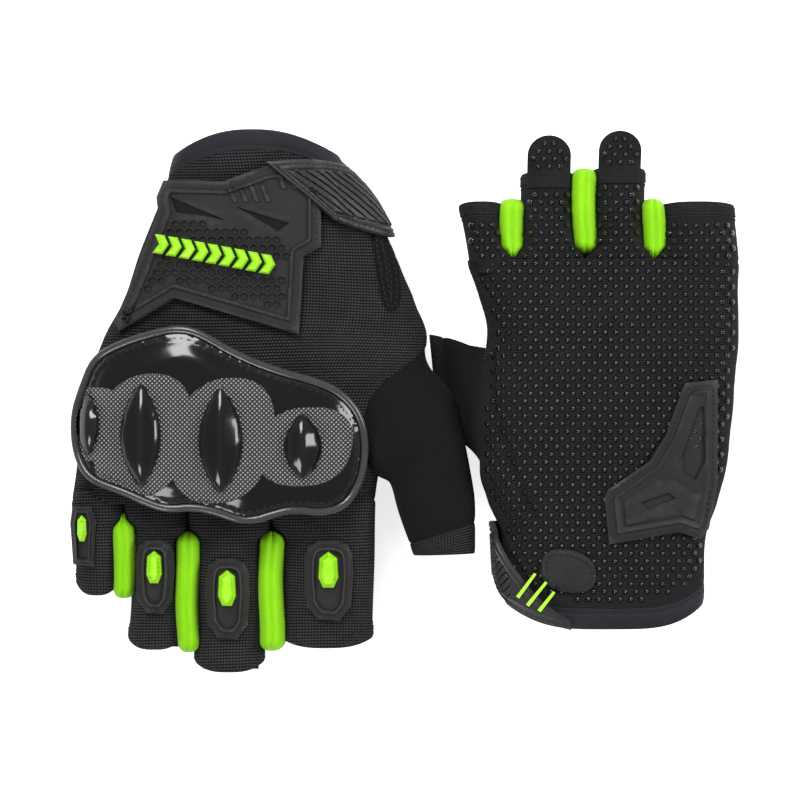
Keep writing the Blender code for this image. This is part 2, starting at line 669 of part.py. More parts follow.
def left_glove():
    """Palm up, the wrist sunk a little, the thumb out to the side and flat."""
    glove = Glove(
        "left",
        LEFT_LENGTH,
        LEFT_BREADTH,
        outline=[
            (0.0, -30.5, 30.0), (0.08, -32.0, 33.5), (0.18, -32.5, 34.5), (0.255, -33.0, 35.0),
            (0.345, -36.5, 39.5), (0.43, -39.5, 42.0), (0.56, -41.0, 42.5), (0.68, -42.5, 41.5),
            (0.81, -43.5, 39.5), (0.91, -43.5, 42.0),
            (1.0, -43.5, 45.5),
        ],
        heights={0.0: 9.5, 0.33: 8.5, 0.70: SLIDER_DROP, 1.0: SLIDER_DROP},
        fingers=[
            (-42.2, -17.6, 18.5, 4.0, 5.0), (-12.4, 5.0, 30.0, 4.0, 5.0), (10.2, 28.8, 28.5, 4.0, 5.0),
            (34.0, 47.6, 18.5, 4.0, 5.0),
        ],
        thumb=[
            ((43.2, 52.8), (39.9, 91.0), 20.0, 15.0), ((47.9, 62.0), (46.0, 94.0), 30.0, 11.5),
            ((52.5, 70.3), (51.2, 96.0), 36.0, 10.0), ((56.4, 76.0), (58.6, 97.6), 38.0, 9.5),
        ],
        lift_to=SLIDER_DROP + HAND_DEPTH + GUARD_TOP + CLEARANCE,
    )
    glove.guard_span = (-42.5, 34.5)
    glove.guard_end = glove.length - 1.0
    glove.trim_scale, glove.trim_shift = 0.86, 0.0
    glove.strap_from, glove.tab_to = 0.90, -1.25
    glove.loop_span = (4.0, 22.0)
    glove.slider_shift, glove.slider_level = 0.0, 0.5
    glove.tabs_folded = False
    glove.pads = {
        "little": (-31.0, 1.5, 14.5, 9.0), "ring": (-3.7, 3.0, 22.0, 13.0),
        "middle": (19.5, 3.0, 22.0, 13.6), "index": (40.8, 1.5, 14.5, 10.0),
    }
    return glove


def thumb_pivot_at(glove):
    """Where the thumb's joint axis passes, in the hand frame."""
    seat = thumb_grid(glove, 0.0)[0]
    if glove.side == "right":
        middle = seat[:, 2].argmax()
        return (seat[:, 0].min(), seat[middle, 1], seat[:, 2].max() + CLEARANCE)
    return (seat[:, 0].mean(), seat[:, 1].mean(), seat[:, 2].max())


def build_glove(glove, materials):
    """Every piece of one glove."""
    add_panel(glove, "back_panel", 1, materials["knit"])
    add_panel(glove, "palm_panel", -1, materials["palm"])
    add_binding(glove, materials["binding"])
    add_guard(glove, materials)
    add_wrist_panel(glove, materials)
    hinge = glove.hand.at_angle(np.array([STRAP_TAB_START]), np.array([23.75]), TAB_TOP)[0]
    add_strap(glove, materials, make_pivot(glove, "strap", hinge))
    add_loop_patch(glove, materials["loop"])
    add_slider(glove, materials["trim"])
    add_thumb(glove, materials["suede"], make_pivot(glove, "thumb", thumb_pivot_at(glove)))
    for finger in FINGERS:
        form = glove.fingers[finger]
        under = form.middle[0] - form.half[0] - CLEARANCE
        root = ((form.low[0] + form.high[0]) / 2, glove.length + 0.25, under)
        pivot = make_pivot(glove, finger, root)
        add_stall(glove, finger, materials["knit"], pivot)
        add_finger_pad(glove, finger, materials, pivot)
        if finger in ("ring", "middle"):
            tip = (root[0], form.v[-1] + CLEARANCE, form.middle[-1] - form.half[-1] - CLEARANCE)
            add_pull_tab(glove, finger, materials["palm"], make_pivot(glove, f"{finger}_pull_tab", tip))
    for first, second in zip(FINGERS, FINGERS[1:]):
        add_gusset(glove, first, second, materials["gusset"])


def main():
    for old in list(bpy.data.objects):
        bpy.data.objects.remove(old)
    materials = make_materials()
    for glove in (right_glove(), left_glove()):
        build_glove(glove, materials)


main()
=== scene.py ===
import math

import bmesh
import bpy
import numpy as np
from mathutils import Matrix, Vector
from mathutils.geometry import delaunay_2d_cdt


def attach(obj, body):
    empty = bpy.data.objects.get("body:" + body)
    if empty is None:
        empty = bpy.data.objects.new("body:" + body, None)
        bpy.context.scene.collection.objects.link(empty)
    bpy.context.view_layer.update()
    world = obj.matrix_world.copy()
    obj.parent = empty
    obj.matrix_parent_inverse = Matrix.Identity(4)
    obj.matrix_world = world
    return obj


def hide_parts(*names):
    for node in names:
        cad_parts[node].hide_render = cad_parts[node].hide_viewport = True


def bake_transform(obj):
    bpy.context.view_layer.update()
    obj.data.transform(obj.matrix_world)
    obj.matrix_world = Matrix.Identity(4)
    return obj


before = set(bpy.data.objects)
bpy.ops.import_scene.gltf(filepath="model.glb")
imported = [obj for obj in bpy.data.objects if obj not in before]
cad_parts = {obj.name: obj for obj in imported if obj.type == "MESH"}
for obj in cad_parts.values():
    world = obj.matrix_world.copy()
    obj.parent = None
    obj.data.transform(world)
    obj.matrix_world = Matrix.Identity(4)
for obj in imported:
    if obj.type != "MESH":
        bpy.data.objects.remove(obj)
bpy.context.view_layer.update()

# The table, the light and the camera. The gloves lie on a white sweep and are seen from
# straight above through a long lens; three big soft lamps stand round the right glove.
MM = 0.001
scene = bpy.context.scene
scene.view_settings.view_transform = "Standard"
CAMERA_PLACE = (-0.0012, 0.0004, 1.3)
PICTURE_WIDTH = 0.264  # what the picture spans at half the gloves' height
HALF_HEIGHT = 0.03
SENSOR_WIDTH = 36.0
LAMP_AIM = (0, 0, 0.02)
WORLD_LIGHT = 0.30
PAPER_GLOW = 0.75  # added to the sweep for the camera only, so that it is white all over
FLOOR_REACH, FLOOR_LEVEL = 3, -0.0004
camera = bpy.data.objects.new("camera", bpy.data.cameras.new("camera"))
camera.location = CAMERA_PLACE
camera.data.sensor_width = SENSOR_WIDTH
camera.data.lens = SENSOR_WIDTH * (CAMERA_PLACE[2] - HALF_HEIGHT) / PICTURE_WIDTH
camera.data.clip_end = 20.0
scene.collection.objects.link(camera)
scene.camera = camera


def area_lamp(name, place, size, power):
    """A square soft lamp at a place, turned to face the gloves."""
    lamp = bpy.data.objects.new(name, bpy.data.lights.new(name, "AREA"))
    lamp.data.size = size
    lamp.data.energy = power
    lamp.location = place
    away = np.array(LAMP_AIM, float) - np.array(place, float)
    flat = math.hypot(away[0], away[1])
    lamp.rotation_euler = (math.atan2(flat, -away[2]), 0, math.atan2(-away[0], away[1]))
    scene.collection.objects.link(lamp)


area_lamp("lamp_over_cuffs", (-0.25, 0.75, 0.75), 0.45, 9.0)
area_lamp("lamp_thumb_side", (0.75, 0.15, 0.55), 0.40, 5.5)
area_lamp("lamp_fingers", (-0.45, -0.70, 0.55), 0.40, 4.5)
world = bpy.data.worlds.new("studio")
world.use_nodes = True
world.node_tree.nodes["Background"].inputs["Color"].default_value = (1, 1, 1, 1)
world.node_tree.nodes["Background"].inputs["Strength"].default_value = WORLD_LIGHT
scene.world = world

floor_mesh = bpy.data.meshes.new("floor")
floor_corners = [(x * FLOOR_REACH, y * FLOOR_REACH, FLOOR_LEVEL) for x, y in ((-1, -1), (1, -1), (1, 1), (-1, 1))]
floor_mesh.from_pydata(floor_corners, [], [(0, 1, 2, 3)])
floor = bpy.data.objects.new("floor", floor_mesh)
scene.collection.objects.link(floor)
white = bpy.data.materials.new("white_sweep")
white.use_nodes = True
nodes, links = white.node_tree.nodes, white.node_tree.links
paper = nodes["Principled BSDF"]
paper.inputs["Base Color"].default_value = (0.88, 0.88, 0.88, 1)
paper.inputs["Roughness"].default_value = 0.9
rays = nodes.new("ShaderNodeLightPath")
glow = nodes.new("ShaderNodeEmission")
glow.inputs["Strength"].default_value = PAPER_GLOW
added = nodes.new("ShaderNodeAddShader")
seen = nodes.new("ShaderNodeMixShader")
links.new(paper.outputs[0], added.inputs[0])
links.new(glow.outputs[0], added.inputs[1])
links.new(rays.outputs["Is Camera Ray"], seen.inputs[0])
links.new(paper.outputs[0], seen.inputs[1])
links.new(added.outputs[0], seen.inputs[2])
links.new(seen.outputs[0], nodes["Material Output"].inputs["Surface"])
floor_mesh.materials.append(white)


# The shape of a worn glove. Each glove is drawn in a hand frame in millimetres: u across
# towards the thumb, v from cuff to fingertips, w up out of the back of the hand. A soft form
# has, at each v, a rounded section; the skin pieces below are all laid on it.
DEPTH = 28.6  # of the hand, back to palm
STALL_DEPTH = 25.0
DROP = 3.3  # how far the palm skin lies above the slider's flat face
GUARD_HEIGHT, TABLE_GAP = 13.5, 0.3  # the left glove lies on its guard
LEFT_LIFT = DROP + DEPTH + GUARD_HEIGHT + TABLE_GAP
RIGHT_AT, LEFT_AT = (-50.65, 89.55), (67.15, -74.95)  # where u = v = 0 lies on the table, in mm
BACK_POWER, PALM_POWER = 2.4, 4.0  # roundness of the hand's section
FINGERS = ("little", "ring", "middle", "index")
BACK, PALM = 1, -1


def smooth_curve(knots, values, at):
    """Cubic steps between knots, each slope the harmonic mean of its neighbours', so nothing overshoots."""
    knots, values = np.asarray(knots, float), np.asarray(values, float)
    at = np.clip(np.asarray(at, float), knots[0], knots[-1])
    slopes = np.diff(values) / np.diff(knots)
    product = slopes[:-1] * slopes[1:]
    middle = np.where(product > 0, 2 * product / (slopes[:-1] + slopes[1:] + 1e-12), 0.0)
    tangent = np.concatenate([slopes[:1], middle, slopes[-1:]])
    i = np.clip(np.searchsorted(knots, at, side="right") - 1, 0, len(slopes) - 1)
    step = knots[i + 1] - knots[i]
    x = (at - knots[i]) / step
    rise = (3 - 2 * x) * x * x
    bend = step * (tangent[i] * x * (1 - x) ** 2 - tangent[i + 1] * x * x * (1 - x))
    return values[i] * (1 - rise) + values[i + 1] * rise + bend


def ease(x):
    """0 below 0, 1 above 1, and a smooth step between."""
    x = np.clip(x, 0, 1)
    return x * x * (3 - 2 * x)


class Form:
    """Sections along v: |u/a|^p + |w/b|^p = 1, with p from the back or the palm side."""

    def __init__(self, v, low, high, middle, half, back_power, palm_power):
        self.v, self.low, self.high = np.array(v), np.array(low), np.array(high)
        self.middle, self.half = np.array(middle), np.array(half)
        self.back_power, self.palm_power = back_power, palm_power

    def section(self, v):
        low, high, middle, half = (smooth_curve(self.v, x, v) for x in (self.low, self.high, self.middle, self.half))
        return (low + high) / 2, (high - low) / 2, middle, half

    def power(self, side, v):
        power = self.back_power if side > 0 else self.palm_power
        return power(v) if callable(power) else power

    def around(self, angle, v, lift=0.0):
        """Angle 0 is the thumb side and a quarter turn the back; lift is outside the skin."""
        power = np.where(np.sin(angle) >= 0, self.power(BACK, v), self.power(PALM, v))
        share = np.sign(np.cos(angle)) * np.abs(np.cos(angle)) ** (2 / power)
        rise = np.sign(np.sin(angle)) * np.abs(np.sin(angle)) ** (2 / power)
        centre, wide, middle, half = self.section(v)
        return np.stack([centre + (wide + lift) * share, v + 0 * share, middle + (half + lift) * rise], -1)

    def over(self, u, v, lift, side):
        """The point above plan place (u, v), lift outside the skin on the back or the palm."""
        centre, wide, middle, half = self.section(v)
        power = self.power(side, v)
        share = np.clip((u - centre) / (wide + lift), -0.99, 0.99)
        fall = (1 - np.abs(share) ** power) ** (1 / power)
        return np.stack([centre + (wide + lift) * share, v + 0 * share, middle + side * (half + lift) * fall], -1)


class Glove:
    """What is particular to one glove: its forms, how it is laid down and where its trim sits."""

    def place(self, points):
        """Hand frame in millimetres to the table in metres."""
        u, v, w = np.moveaxis(np.asarray(points, float), -1, 0)
        if self.side == "right":
            return np.stack([u + RIGHT_AT[0], RIGHT_AT[1] - v, w], -1) * MM
        return np.stack([LEFT_AT[0] - u, v + LEFT_AT[1], LEFT_LIFT - w], -1) * MM


def lay_out(side, length, outline, heights, fingers, spread, crotches, arch):
    """The hand form and the four finger forms of one glove. Near the hand a stall is squarish.

    outline is (share of length, low u, high u). A finger is (low, high, reach, root height, tip
    height, lean, spread at the tip, outward flank at the root and at the tip); neighbours
    overlap by spread as far as the crotch between them.
    """
    glove = Glove()
    glove.side, glove.length, glove.hand_body = side, length, f"{side}_hand"
    share, low, high = (np.array(x) for x in zip(*outline))
    level = smooth_curve(list(heights), list(heights.values()), share)
    glove.hand = Form(share * length, low, high, level + DEPTH / 2, DEPTH / 2 + 0 * share, BACK_POWER, PALM_POWER)
    glove.fingers, glove.arch, glove.crotches = {}, arch, crotches
    start, half = length - 4.0, STALL_DEPTH / 2
    squareness = lambda v: 2.3 + 2.2 * ease(1 - (v - start) / 17.0)
    for number, (low, high, reach, root, tip, lean, tip_spread, root_flank, tip_flank) in enumerate(fingers):
        v = length + np.array([-4.0, 1.0, 5.0, 9.0, 13.0, 0.5 + max(reach, 18.5)])
        along = (v - start) / (v[-1] - start)
        flank = root_flank * (1 - along) + tip_flank * along**2
        near, far = (
            flank * sign if number == last else spread * (v <= length + crotch) + tip_spread * along**3
            for last, sign, crotch in ((0, -1, crotches[max(number - 1, 0)]), (3, 1, crotches[min(number, 2)]))
        )
        slide, narrowing = lean * along, 0.12 * half
        taper = ease(along * 1.4 - 0.4)
        glove.fingers[FINGERS[number]] = Form(
            v, low - near + slide, high + far + slide, root + half + (tip - root - narrowing) * taper,
            half - narrowing * taper, squareness, squareness,
        )
    return glove


right = lay_out(
    "right", 123.0,
    [(0.0, -24.0, 25.5), (0.105, -27.0, 31.5), (0.19, -30.5, 39.0), (0.325, -37.0, 47.5), (0.455, -42.5, 54.0),
     (0.555, -49.0, 58.5), (0.73, -56.0, 51.2), (0.92, -58.5, 42.5), (1.0, -60.0, 41.0)],
    {0.0: 5.4, 0.26: 5.2, 0.42: DROP, 1.0: DROP},
    [(-59.0, -44.6, 30.0, 3.0, 3.2, 0.6, -0.4, -1.2, 0.3), (-39.4, -23.6, 48.0, 3.0, 3.4, -0.6, 1.2, 0, 0),
     (-18.4, 4.2, 55.5, 3.0, 3.4, -0.4, 0.3, 0, 0), (9.4, 39.9, 47.5, 3.0, 3.4, 0.2, 0.2, 1.8, 0.2)],
    spread=3.0, crotches=(5.0, 12.0, 12.0), arch=3.2,
)
left = lay_out(
    "left", 121.0,
    [(0.0, -30.5, 30.0), (0.08, -32.0, 33.5), (0.18, -32.5, 34.5), (0.255, -33.0, 35.0), (0.345, -36.5, 39.5),
     (0.43, -39.5, 42.0), (0.56, -41.0, 42.5), (0.68, -42.5, 41.5), (0.81, -43.5, 39.5), (0.91, -43.4, 42.5),
     (1.0, -43.3, 46.5)],
    {0.0: 9.5, 0.33: 8.5, 0.70: DROP, 1.0: DROP},
    [(-42.2, -17.6, 18.5, 4.0, 5.0, 0.3, 0.2, -1.4, 0.2), (-12.4, 5.0, 30.0, 4.0, 5.0, 0.0, 0.0, 0, 0),
     (10.2, 28.8, 28.5, 4.0, 5.0, 0.0, -0.4, 0, 0), (34.0, 47.6, 18.5, 4.0, 5.0, 0.6, 0.2, -2.6, 0.8)],
    spread=2.9, crotches=(2.1, 4.5, 2.1), arch=0.9,
)
gloves = (right, left)


def crumple(u, v, size, seed):
    """Soft unevenness of worn cloth: a sum of slanted sine waves with fixed directions and phases."""
    turns = np.arange(5) * 1.13 + seed
    total = 0.0
    for k, turn in enumerate(turns):
        wave = size * (0.55 + 0.3 * k)
        total = total + np.sin((u * math.cos(turn) + v * math.sin(turn)) / wave + 2.4 * turn) / (1 + 0.5 * k)
    return total / 3.0


def join_grid(rows, columns, around):
    """Quads of a grid of points, as an array of corner numbers; around closes the last column."""
    i, j = np.meshgrid(np.arange(rows - 1), np.arange(columns if around else columns - 1), indexing="ij")
    k = (j + 1) % columns
    quads = np.stack([i * columns + j, i * columns + k, (i + 1) * columns + k, (i + 1) * columns + j], -1)
    return quads.reshape(-1, 4)


WELD = 2e-7
SHARP = math.radians(48)


def make_piece(glove, name, points, faces, uv, material, body, replaced=(), smooth=True):
    """A mesh piece from hand-frame points, with its uv in millimetres and its faces turned out."""
    mesh = bpy.data.meshes.new(name)
    mesh.from_pydata(glove.place(points), [], faces.tolist() if isinstance(faces, np.ndarray) else faces)
    layer = mesh.uv_layers.new(name="UVMap")
    corner = np.empty(len(mesh.loops), np.int32)
    mesh.loops.foreach_get("vertex_index", corner)
    layer.data.foreach_set("uv", np.asarray(uv, np.float32)[corner].ravel())
    solid = bmesh.new()
    solid.from_mesh(mesh)
    bmesh.ops.remove_doubles(solid, verts=solid.verts, dist=WELD)
    bmesh.ops.recalc_face_normals(solid, faces=solid.faces)
    solid.to_mesh(mesh)
    solid.free()
    mesh.materials.append(material)
    if smooth:
        mesh.shade_smooth()
        mesh.set_sharp_from_angle(angle=SHARP)
    piece = bpy.data.objects.new(name, mesh)
    scene.collection.objects.link(piece)
    if isinstance(body, str):
        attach(piece, body)
    else:
        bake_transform(piece)
    if replaced:
        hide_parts(*replaced)
    return piece


def make_shell(
    glove, name, outer, inner, uv, material, body, replaced=(), around=False
):
    """A wall between two grids of points, closed along its edges."""
    rows, columns = outer.shape[:2]
    count = rows * columns
    top = join_grid(rows, columns, around)
    edge = np.arange(columns if around else columns - 1)
    after = (edge + 1) % columns
    rims = []
    for start in (0, (rows - 1) * columns):
        rims.append(np.stack([start + edge, start + after, count + start + after, count + start + edge], -1))
    if not around:
        i = np.arange(rows - 1) * columns
        for column in (0, columns - 1):
            a, b = i + column, i + columns + column
            rims.append(np.stack([a, b, count + b, count + a], -1))
    faces = np.concatenate([top, top[:, ::-1] + count, *rims])
    points = np.concatenate([outer.reshape(-1, 3), inner.reshape(-1, 3)])
    uv = np.asarray(uv, float).reshape(-1, 2)
    piece = make_piece(glove, name, points, faces, np.concatenate([uv, uv]), material, body, replaced)
    return piece


# Shared finishes of the cloth: a node group each for ribbed knit, for fine grain, and for the
# wear that lightens raised edges. All three read the piece's own uv, which is in millimetres.
def new_group(name, inputs, outputs):
    """An empty shader node group with float inputs and outputs, ready to be filled."""
    group = bpy.data.node_groups.new(name, "ShaderNodeTree")
    for labels, way in ((inputs, "INPUT"), (outputs, "OUTPUT")):
        for label in labels:
            group.interface.new_socket(name=label, in_out=way, socket_type="NodeSocketFloat")
    return group, group.nodes.new("NodeGroupInput"), group.nodes.new("NodeGroupOutput")


def maths(tree, operation, *values):
    """A Math node; each value is a number or another node's output."""
    node = tree.nodes.new("ShaderNodeMath")
    node.operation = operation
    for i, value in enumerate(values):
        if isinstance(value, (int, float)):
            node.inputs[i].default_value = value
        else:
            tree.links.new(value, node.inputs[i])
    return node.outputs[0]


def uv_parts(tree):
    """The u and v of the piece's own uv map, in millimetres."""
    place = tree.nodes.new("ShaderNodeUVMap")
    place.uv_map = "UVMap"
    parts = tree.nodes.new("ShaderNodeSeparateXYZ")
    tree.links.new(place.outputs[0], parts.inputs[0])
    return place.outputs[0], parts.outputs[0], parts.outputs[1]


def noise(tree, place, scale, detail):
    """Fractal noise from 0 to 1; scale is in waves per millimetre."""
    node = tree.nodes.new("ShaderNodeTexNoise")
    tree.links.new(place, node.inputs["Vector"])
    node.inputs["Scale"].default_value = scale
    node.inputs["Detail"].default_value = detail
    return node.outputs["Fac"]


def make_knit_group():
    """Ribs along v with loops leaning left and right in turn.

    The height is |sin(pi v / Rib)|^0.6 times 0.45 + 0.55 |sin| of the slanted loops; the painted shade output is its
    cube, which paints raised loops lighter and the hollows between them darker.
    """
    group, given, out = new_group("ribbed_knit", ["Rib", "Loop"], ["Height", "PaintedShade"])
    _, u, v = uv_parts(group)
    row = maths(group, "DIVIDE", v, given.outputs["Rib"])
    rib = maths(group, "ABSOLUTE", maths(group, "SINE", maths(group, "MULTIPLY", row, math.pi)))
    lean = maths(group, "PINGPONG", row, 0.5)
    column = maths(group, "MULTIPLY_ADD", lean, 1.3, maths(group, "DIVIDE", u, given.outputs["Loop"]))
    loop = maths(group, "ABSOLUTE", maths(group, "SINE", maths(group, "MULTIPLY", column, math.pi)))
    height = maths(group, "MULTIPLY", maths(group, "POWER", rib, 0.6), maths(group, "MULTIPLY_ADD", loop, 0.55, 0.45))
    group.links.new(height, out.inputs["Height"])
    # Painted shade: the cube of the height, pale on raised loops and dark in the hollows between them.
    group.links.new(maths(group, "POWER", height, 3.0), out.inputs["PaintedShade"])
    return group


def make_grain_group():
    """Two sizes of noise: slow unevenness and fine grain."""
    group, _, out = new_group("grain", [], ["Slow", "Fine"])
    place, _, _ = uv_parts(group)
    group.links.new(noise(group, place, 0.09, 3.0), out.inputs["Slow"])
    group.links.new(noise(group, place, 2.5, 4.0), out.inputs["Fine"])
    return group


def make_wear_group():
    """Raised edges rub pale: the mesh's pointiness above its mean, broken up by noise."""
    group, _, out = new_group("edge_wear", [], ["Worn"])
    shape = group.nodes.new("ShaderNodeNewGeometry")
    place, _, _ = uv_parts(group)
    raised = maths(group, "MULTIPLY", maths(group, "SUBTRACT", shape.outputs["Pointiness"], 0.51), 14.0)
    broken = maths(group, "MULTIPLY", raised, maths(group, "ADD", noise(group, place, 0.7, 3.0), 0.35))
    clipped = maths(group, "MINIMUM", maths(group, "MAXIMUM", broken, 0.0), 1.0)
    group.links.new(clipped, out.inputs["Worn"])
    return group


knit_group, grain_group, wear_group = make_knit_group(), make_grain_group(), make_wear_group()


def use_group(tree, group, **values):
    """A node of a shared group, with its inputs set."""
    node = tree.nodes.new("ShaderNodeGroup")
    node.node_tree = group
    for name, value in values.items():
        node.inputs[name].default_value = value
    return node


def blend_colours(tree, amount, first, second):
    """A colour mix; the first and second are colours or outputs."""
    node = tree.nodes.new("ShaderNodeMix")
    node.data_type = "RGBA"
    tree.links.new(amount, node.inputs[0])
    for socket, value in ((node.inputs[6], first), (node.inputs[7], second)):
        if isinstance(value, tuple):
            socket.default_value = (*value, 1.0)
        else:
            tree.links.new(value, socket)
    return node.outputs[2]


WEAR, MATT_SPECULAR, GLOSSY_SPECULAR = 0.5, 0.22, 0.5
SHEEN_SHARE, SHEEN_ROUGHNESS, ROUGH_SPREAD = 0.3, 0.45, 0.16


def finish(name, dark, pale, shade, heights, depth, rough, worn=None, sheen=0.0):
    """A Principled material whose colour, roughness and bump come from the callables given.

    shade and heights take the tree and its grain node and return an output from 0 to 1; depth is
    the bump's in mm. The roughness varies round rough with the fine grain.
    """
    material = bpy.data.materials.new(name)
    material.use_nodes = True
    tree = material.node_tree
    shader = tree.nodes["Principled BSDF"]
    grain = use_group(tree, grain_group)
    tone = shade(tree, grain)
    colour = blend_colours(tree, tone, dark, pale)
    if worn:
        wear = use_group(tree, wear_group)
        colour = blend_colours(tree, maths(tree, "MULTIPLY", wear.outputs["Worn"], WEAR), colour, worn)
    tree.links.new(colour, shader.inputs["Base Color"])
    grainy = maths(tree, "MULTIPLY", grain.outputs["Fine"], ROUGH_SPREAD)
    tree.links.new(maths(tree, "ADD", rough - ROUGH_SPREAD / 2, grainy), shader.inputs["Roughness"])
    shader.inputs["Sheen Weight"].default_value = sheen * SHEEN_SHARE
    shader.inputs["Sheen Roughness"].default_value = SHEEN_ROUGHNESS
    shader.inputs["Specular IOR Level"].default_value = GLOSSY_SPECULAR if rough < 0.5 else MATT_SPECULAR
    bump = tree.nodes.new("ShaderNodeBump")
    bump.inputs["Distance"].default_value = depth * MM
    tree.links.new(heights(tree, grain), bump.inputs["Height"])
    tree.links.new(bump.outputs[0], shader.inputs["Normal"])
    return material


# The back of the hand: one panel of black ribbed stretch knit from side seam to side seam,
# with the ribs running across. It is cut out for the thumb and lies over the hand's roundness.
KNIT_RIB, KNIT_LOOP, RIB_HEIGHT = 0.98, 1.05, 0.05
MOUTH_ARCH, BINDING, EDGE_GAP, FABRIC = 8.0, 6.8, 0.3, 1.6
SIDE_SEAM = {"right": 44.5, "left": 33.0}  # u of the seam that runs along the thumb side of the back
SEAM_FROM, SEAM_TO = 60, 108


def knit_painted_shade_and_grain(tree, grain):
    """Painted shade of the knit's loops, pale on raised loops and dark in the hollows, made uneven by the slow grain.
    """
    knit = use_group(tree, knit_group, Rib=KNIT_RIB, Loop=KNIT_LOOP)
    return maths(tree, "MULTIPLY", knit.outputs["PaintedShade"], maths(tree, "ADD", grain.outputs["Slow"], 0.35))


def knit_height(tree, grain):
    """The knit's loops with a fuzz of fine grain."""
    knit = use_group(tree, knit_group, Rib=KNIT_RIB, Loop=KNIT_LOOP)
    return maths(tree, "ADD", knit.outputs["Height"], maths(tree, "MULTIPLY", grain.outputs["Fine"], 0.3))


# The knit's dark and pale colours are blended by painted shade of its loops, with random slow grain.
knit = finish(
    "ribbed_knit", (0.0008, 0.0008, 0.001), (0.085, 0.084, 0.088), knit_painted_shade_and_grain, knit_height, 0.75, 0.85
)


def mouth_line(angle):
    """The cuff's edge is cut back towards the side seams, as a squared cosine."""
    return MOUTH_ARCH * np.cos(angle) ** 2


# The rungs of each thumb from its root: outer and crotch side in plan, middle height, depth.
THUMBS = {
    "right": [((60.1, 68.6), (42.6, 113.5), 18.0, 19.0), ((67.5, 89.1), (46.0, 117.0), 22.0, 19.0),
              ((71.5, 105.6), (48.5, 125.0), 24.0, 19.0), ((74.5, 123.0), (51.5, 134.0), 24.0, 19.0),
              ((74.6, 139.9), (53.8, 140.6), 23.5, 18.0)],
    "left": [((43.2, 52.8), (39.9, 91.0), 20.0, 15.0), ((47.9, 62.0), (46.0, 94.0), 30.0, 11.5),
             ((52.5, 70.3), (51.2, 96.0), 36.0, 10.0), ((56.4, 76.0), (58.6, 97.6), 38.0, 9.5)],
}


def thumb_hole(glove, v):
    """Half the height of the opening that the thumb stall is sewn to: half an ellipse along v."""
    outer, crotch, _, depth = THUMBS[glove.side][0]
    middle, reach = (outer[1] + crotch[1]) / 2, abs(crotch[1] - outer[1]) / 2 - 2.5
    return 0.25 * depth * np.sqrt(np.maximum(1 - ((v - middle) / reach) ** 2, 0))


def panel_grid(glove, side, rows, columns):
    """Angles and v of half the hand's skin, from the binding to just past the knuckle line."""
    share, turn = np.linspace(0, 1, rows)[:, None], np.linspace(0, 1, columns)[None, :]
    start = mouth_line(turn * math.pi) + BINDING - 1.0
    v = start + share * (glove.length + 0.5 - start)
    half = glove.hand.section(v)[3]
    power = glove.hand.power(side, v)
    near = np.arcsin(((EDGE_GAP / 2 + thumb_hole(glove, v)) / half) ** (power / 2))
    far = np.arcsin((EDGE_GAP / 2 / half) ** (power / 2))
    return side * (near + turn * (math.pi - near - far)), v


def panel_uv(points):
    """Length along each row of points and along v, in millimetres."""
    steps = np.linalg.norm(np.diff(points, axis=1), axis=2)
    across = np.concatenate([np.zeros((len(points), 1)), np.cumsum(steps, axis=1)], axis=1)
    u, v = across - across[:, -1:] / 2, points[:, :, 1]
    return np.stack([u, v + 1.1 * crumple(u, v, 13.0, 0.9)], -1)


def ribs(v):
    """The height of the knit's ribs: a rectified sine along v."""
    return RIB_HEIGHT * (np.abs(np.sin(math.pi * v / KNIT_RIB)) ** 0.6 - 0.6)


def tuck(glove, v):
    """The last few millimetres of a hand panel sink under the finger stalls sewn over it."""
    return 0.45 * ease((v - glove.length + 2.0) / 2.6)


def seam_dip(columns, breadth):
    """The side edges of a panel are drawn in by their seams; breadth is the panel's, in mm."""
    from_edge = np.minimum(np.linspace(0, 1, columns), np.linspace(1, 0, columns)) * breadth
    return 0.5 * np.exp(-from_edge / 0.8)


for glove in gloves:
    angle, v = panel_grid(glove, BACK, 260, 121)
    u = glove.hand.around(angle, v)[..., 0]
    joined = np.exp(-(((u - SIDE_SEAM[glove.side]) / 0.7) ** 2))
    joined = joined * ease((v - SEAM_FROM) / 4) * ease((SEAM_TO - v) / 4)
    lift = ribs(v) + 0.35 * crumple(u, v, 9.0, 0.3) - seam_dip(121, 120) - tuck(glove, v) - 0.5 * joined
    outer = glove.hand.around(angle, v, lift)
    inner = glove.hand.around(angle, v, -FABRIC)
    make_shell(
        glove, f"{glove.side}_back_knit", outer, inner, panel_uv(outer), knit, glove.hand_body,
        [f"{glove.side}_back_panel"],
    )


# Sewing thread shows as rows of small stitches. Each stitch is a slim bead of thread half sunk
# in the cloth; rows are gathered and made into one piece per body.
def resample(path, spacing, closed=False):
    """Evenly spaced points along a path of any dimension."""
    path = np.asarray(path, float)
    if closed:
        path = np.concatenate([path, path[:1]])
    along = np.concatenate([[0], np.cumsum(np.linalg.norm(np.diff(path, axis=0), axis=1))])
    count = max(int(round(along[-1] / spacing)), 2)
    at = np.linspace(0, along[-1], count + 1)
    points = np.stack([np.interp(at, along, path[:, k]) for k in range(path.shape[1])], -1)
    return points[:-1] if closed else points


STITCH_SHARE = 0.66
SPINDLE = ((0.0, 0.35, 0.35), (0.25, 1.0, 0.12), (0.75, 1.0, 0.12), (1.0, 0.35, 0.35))  # along, width, sunk


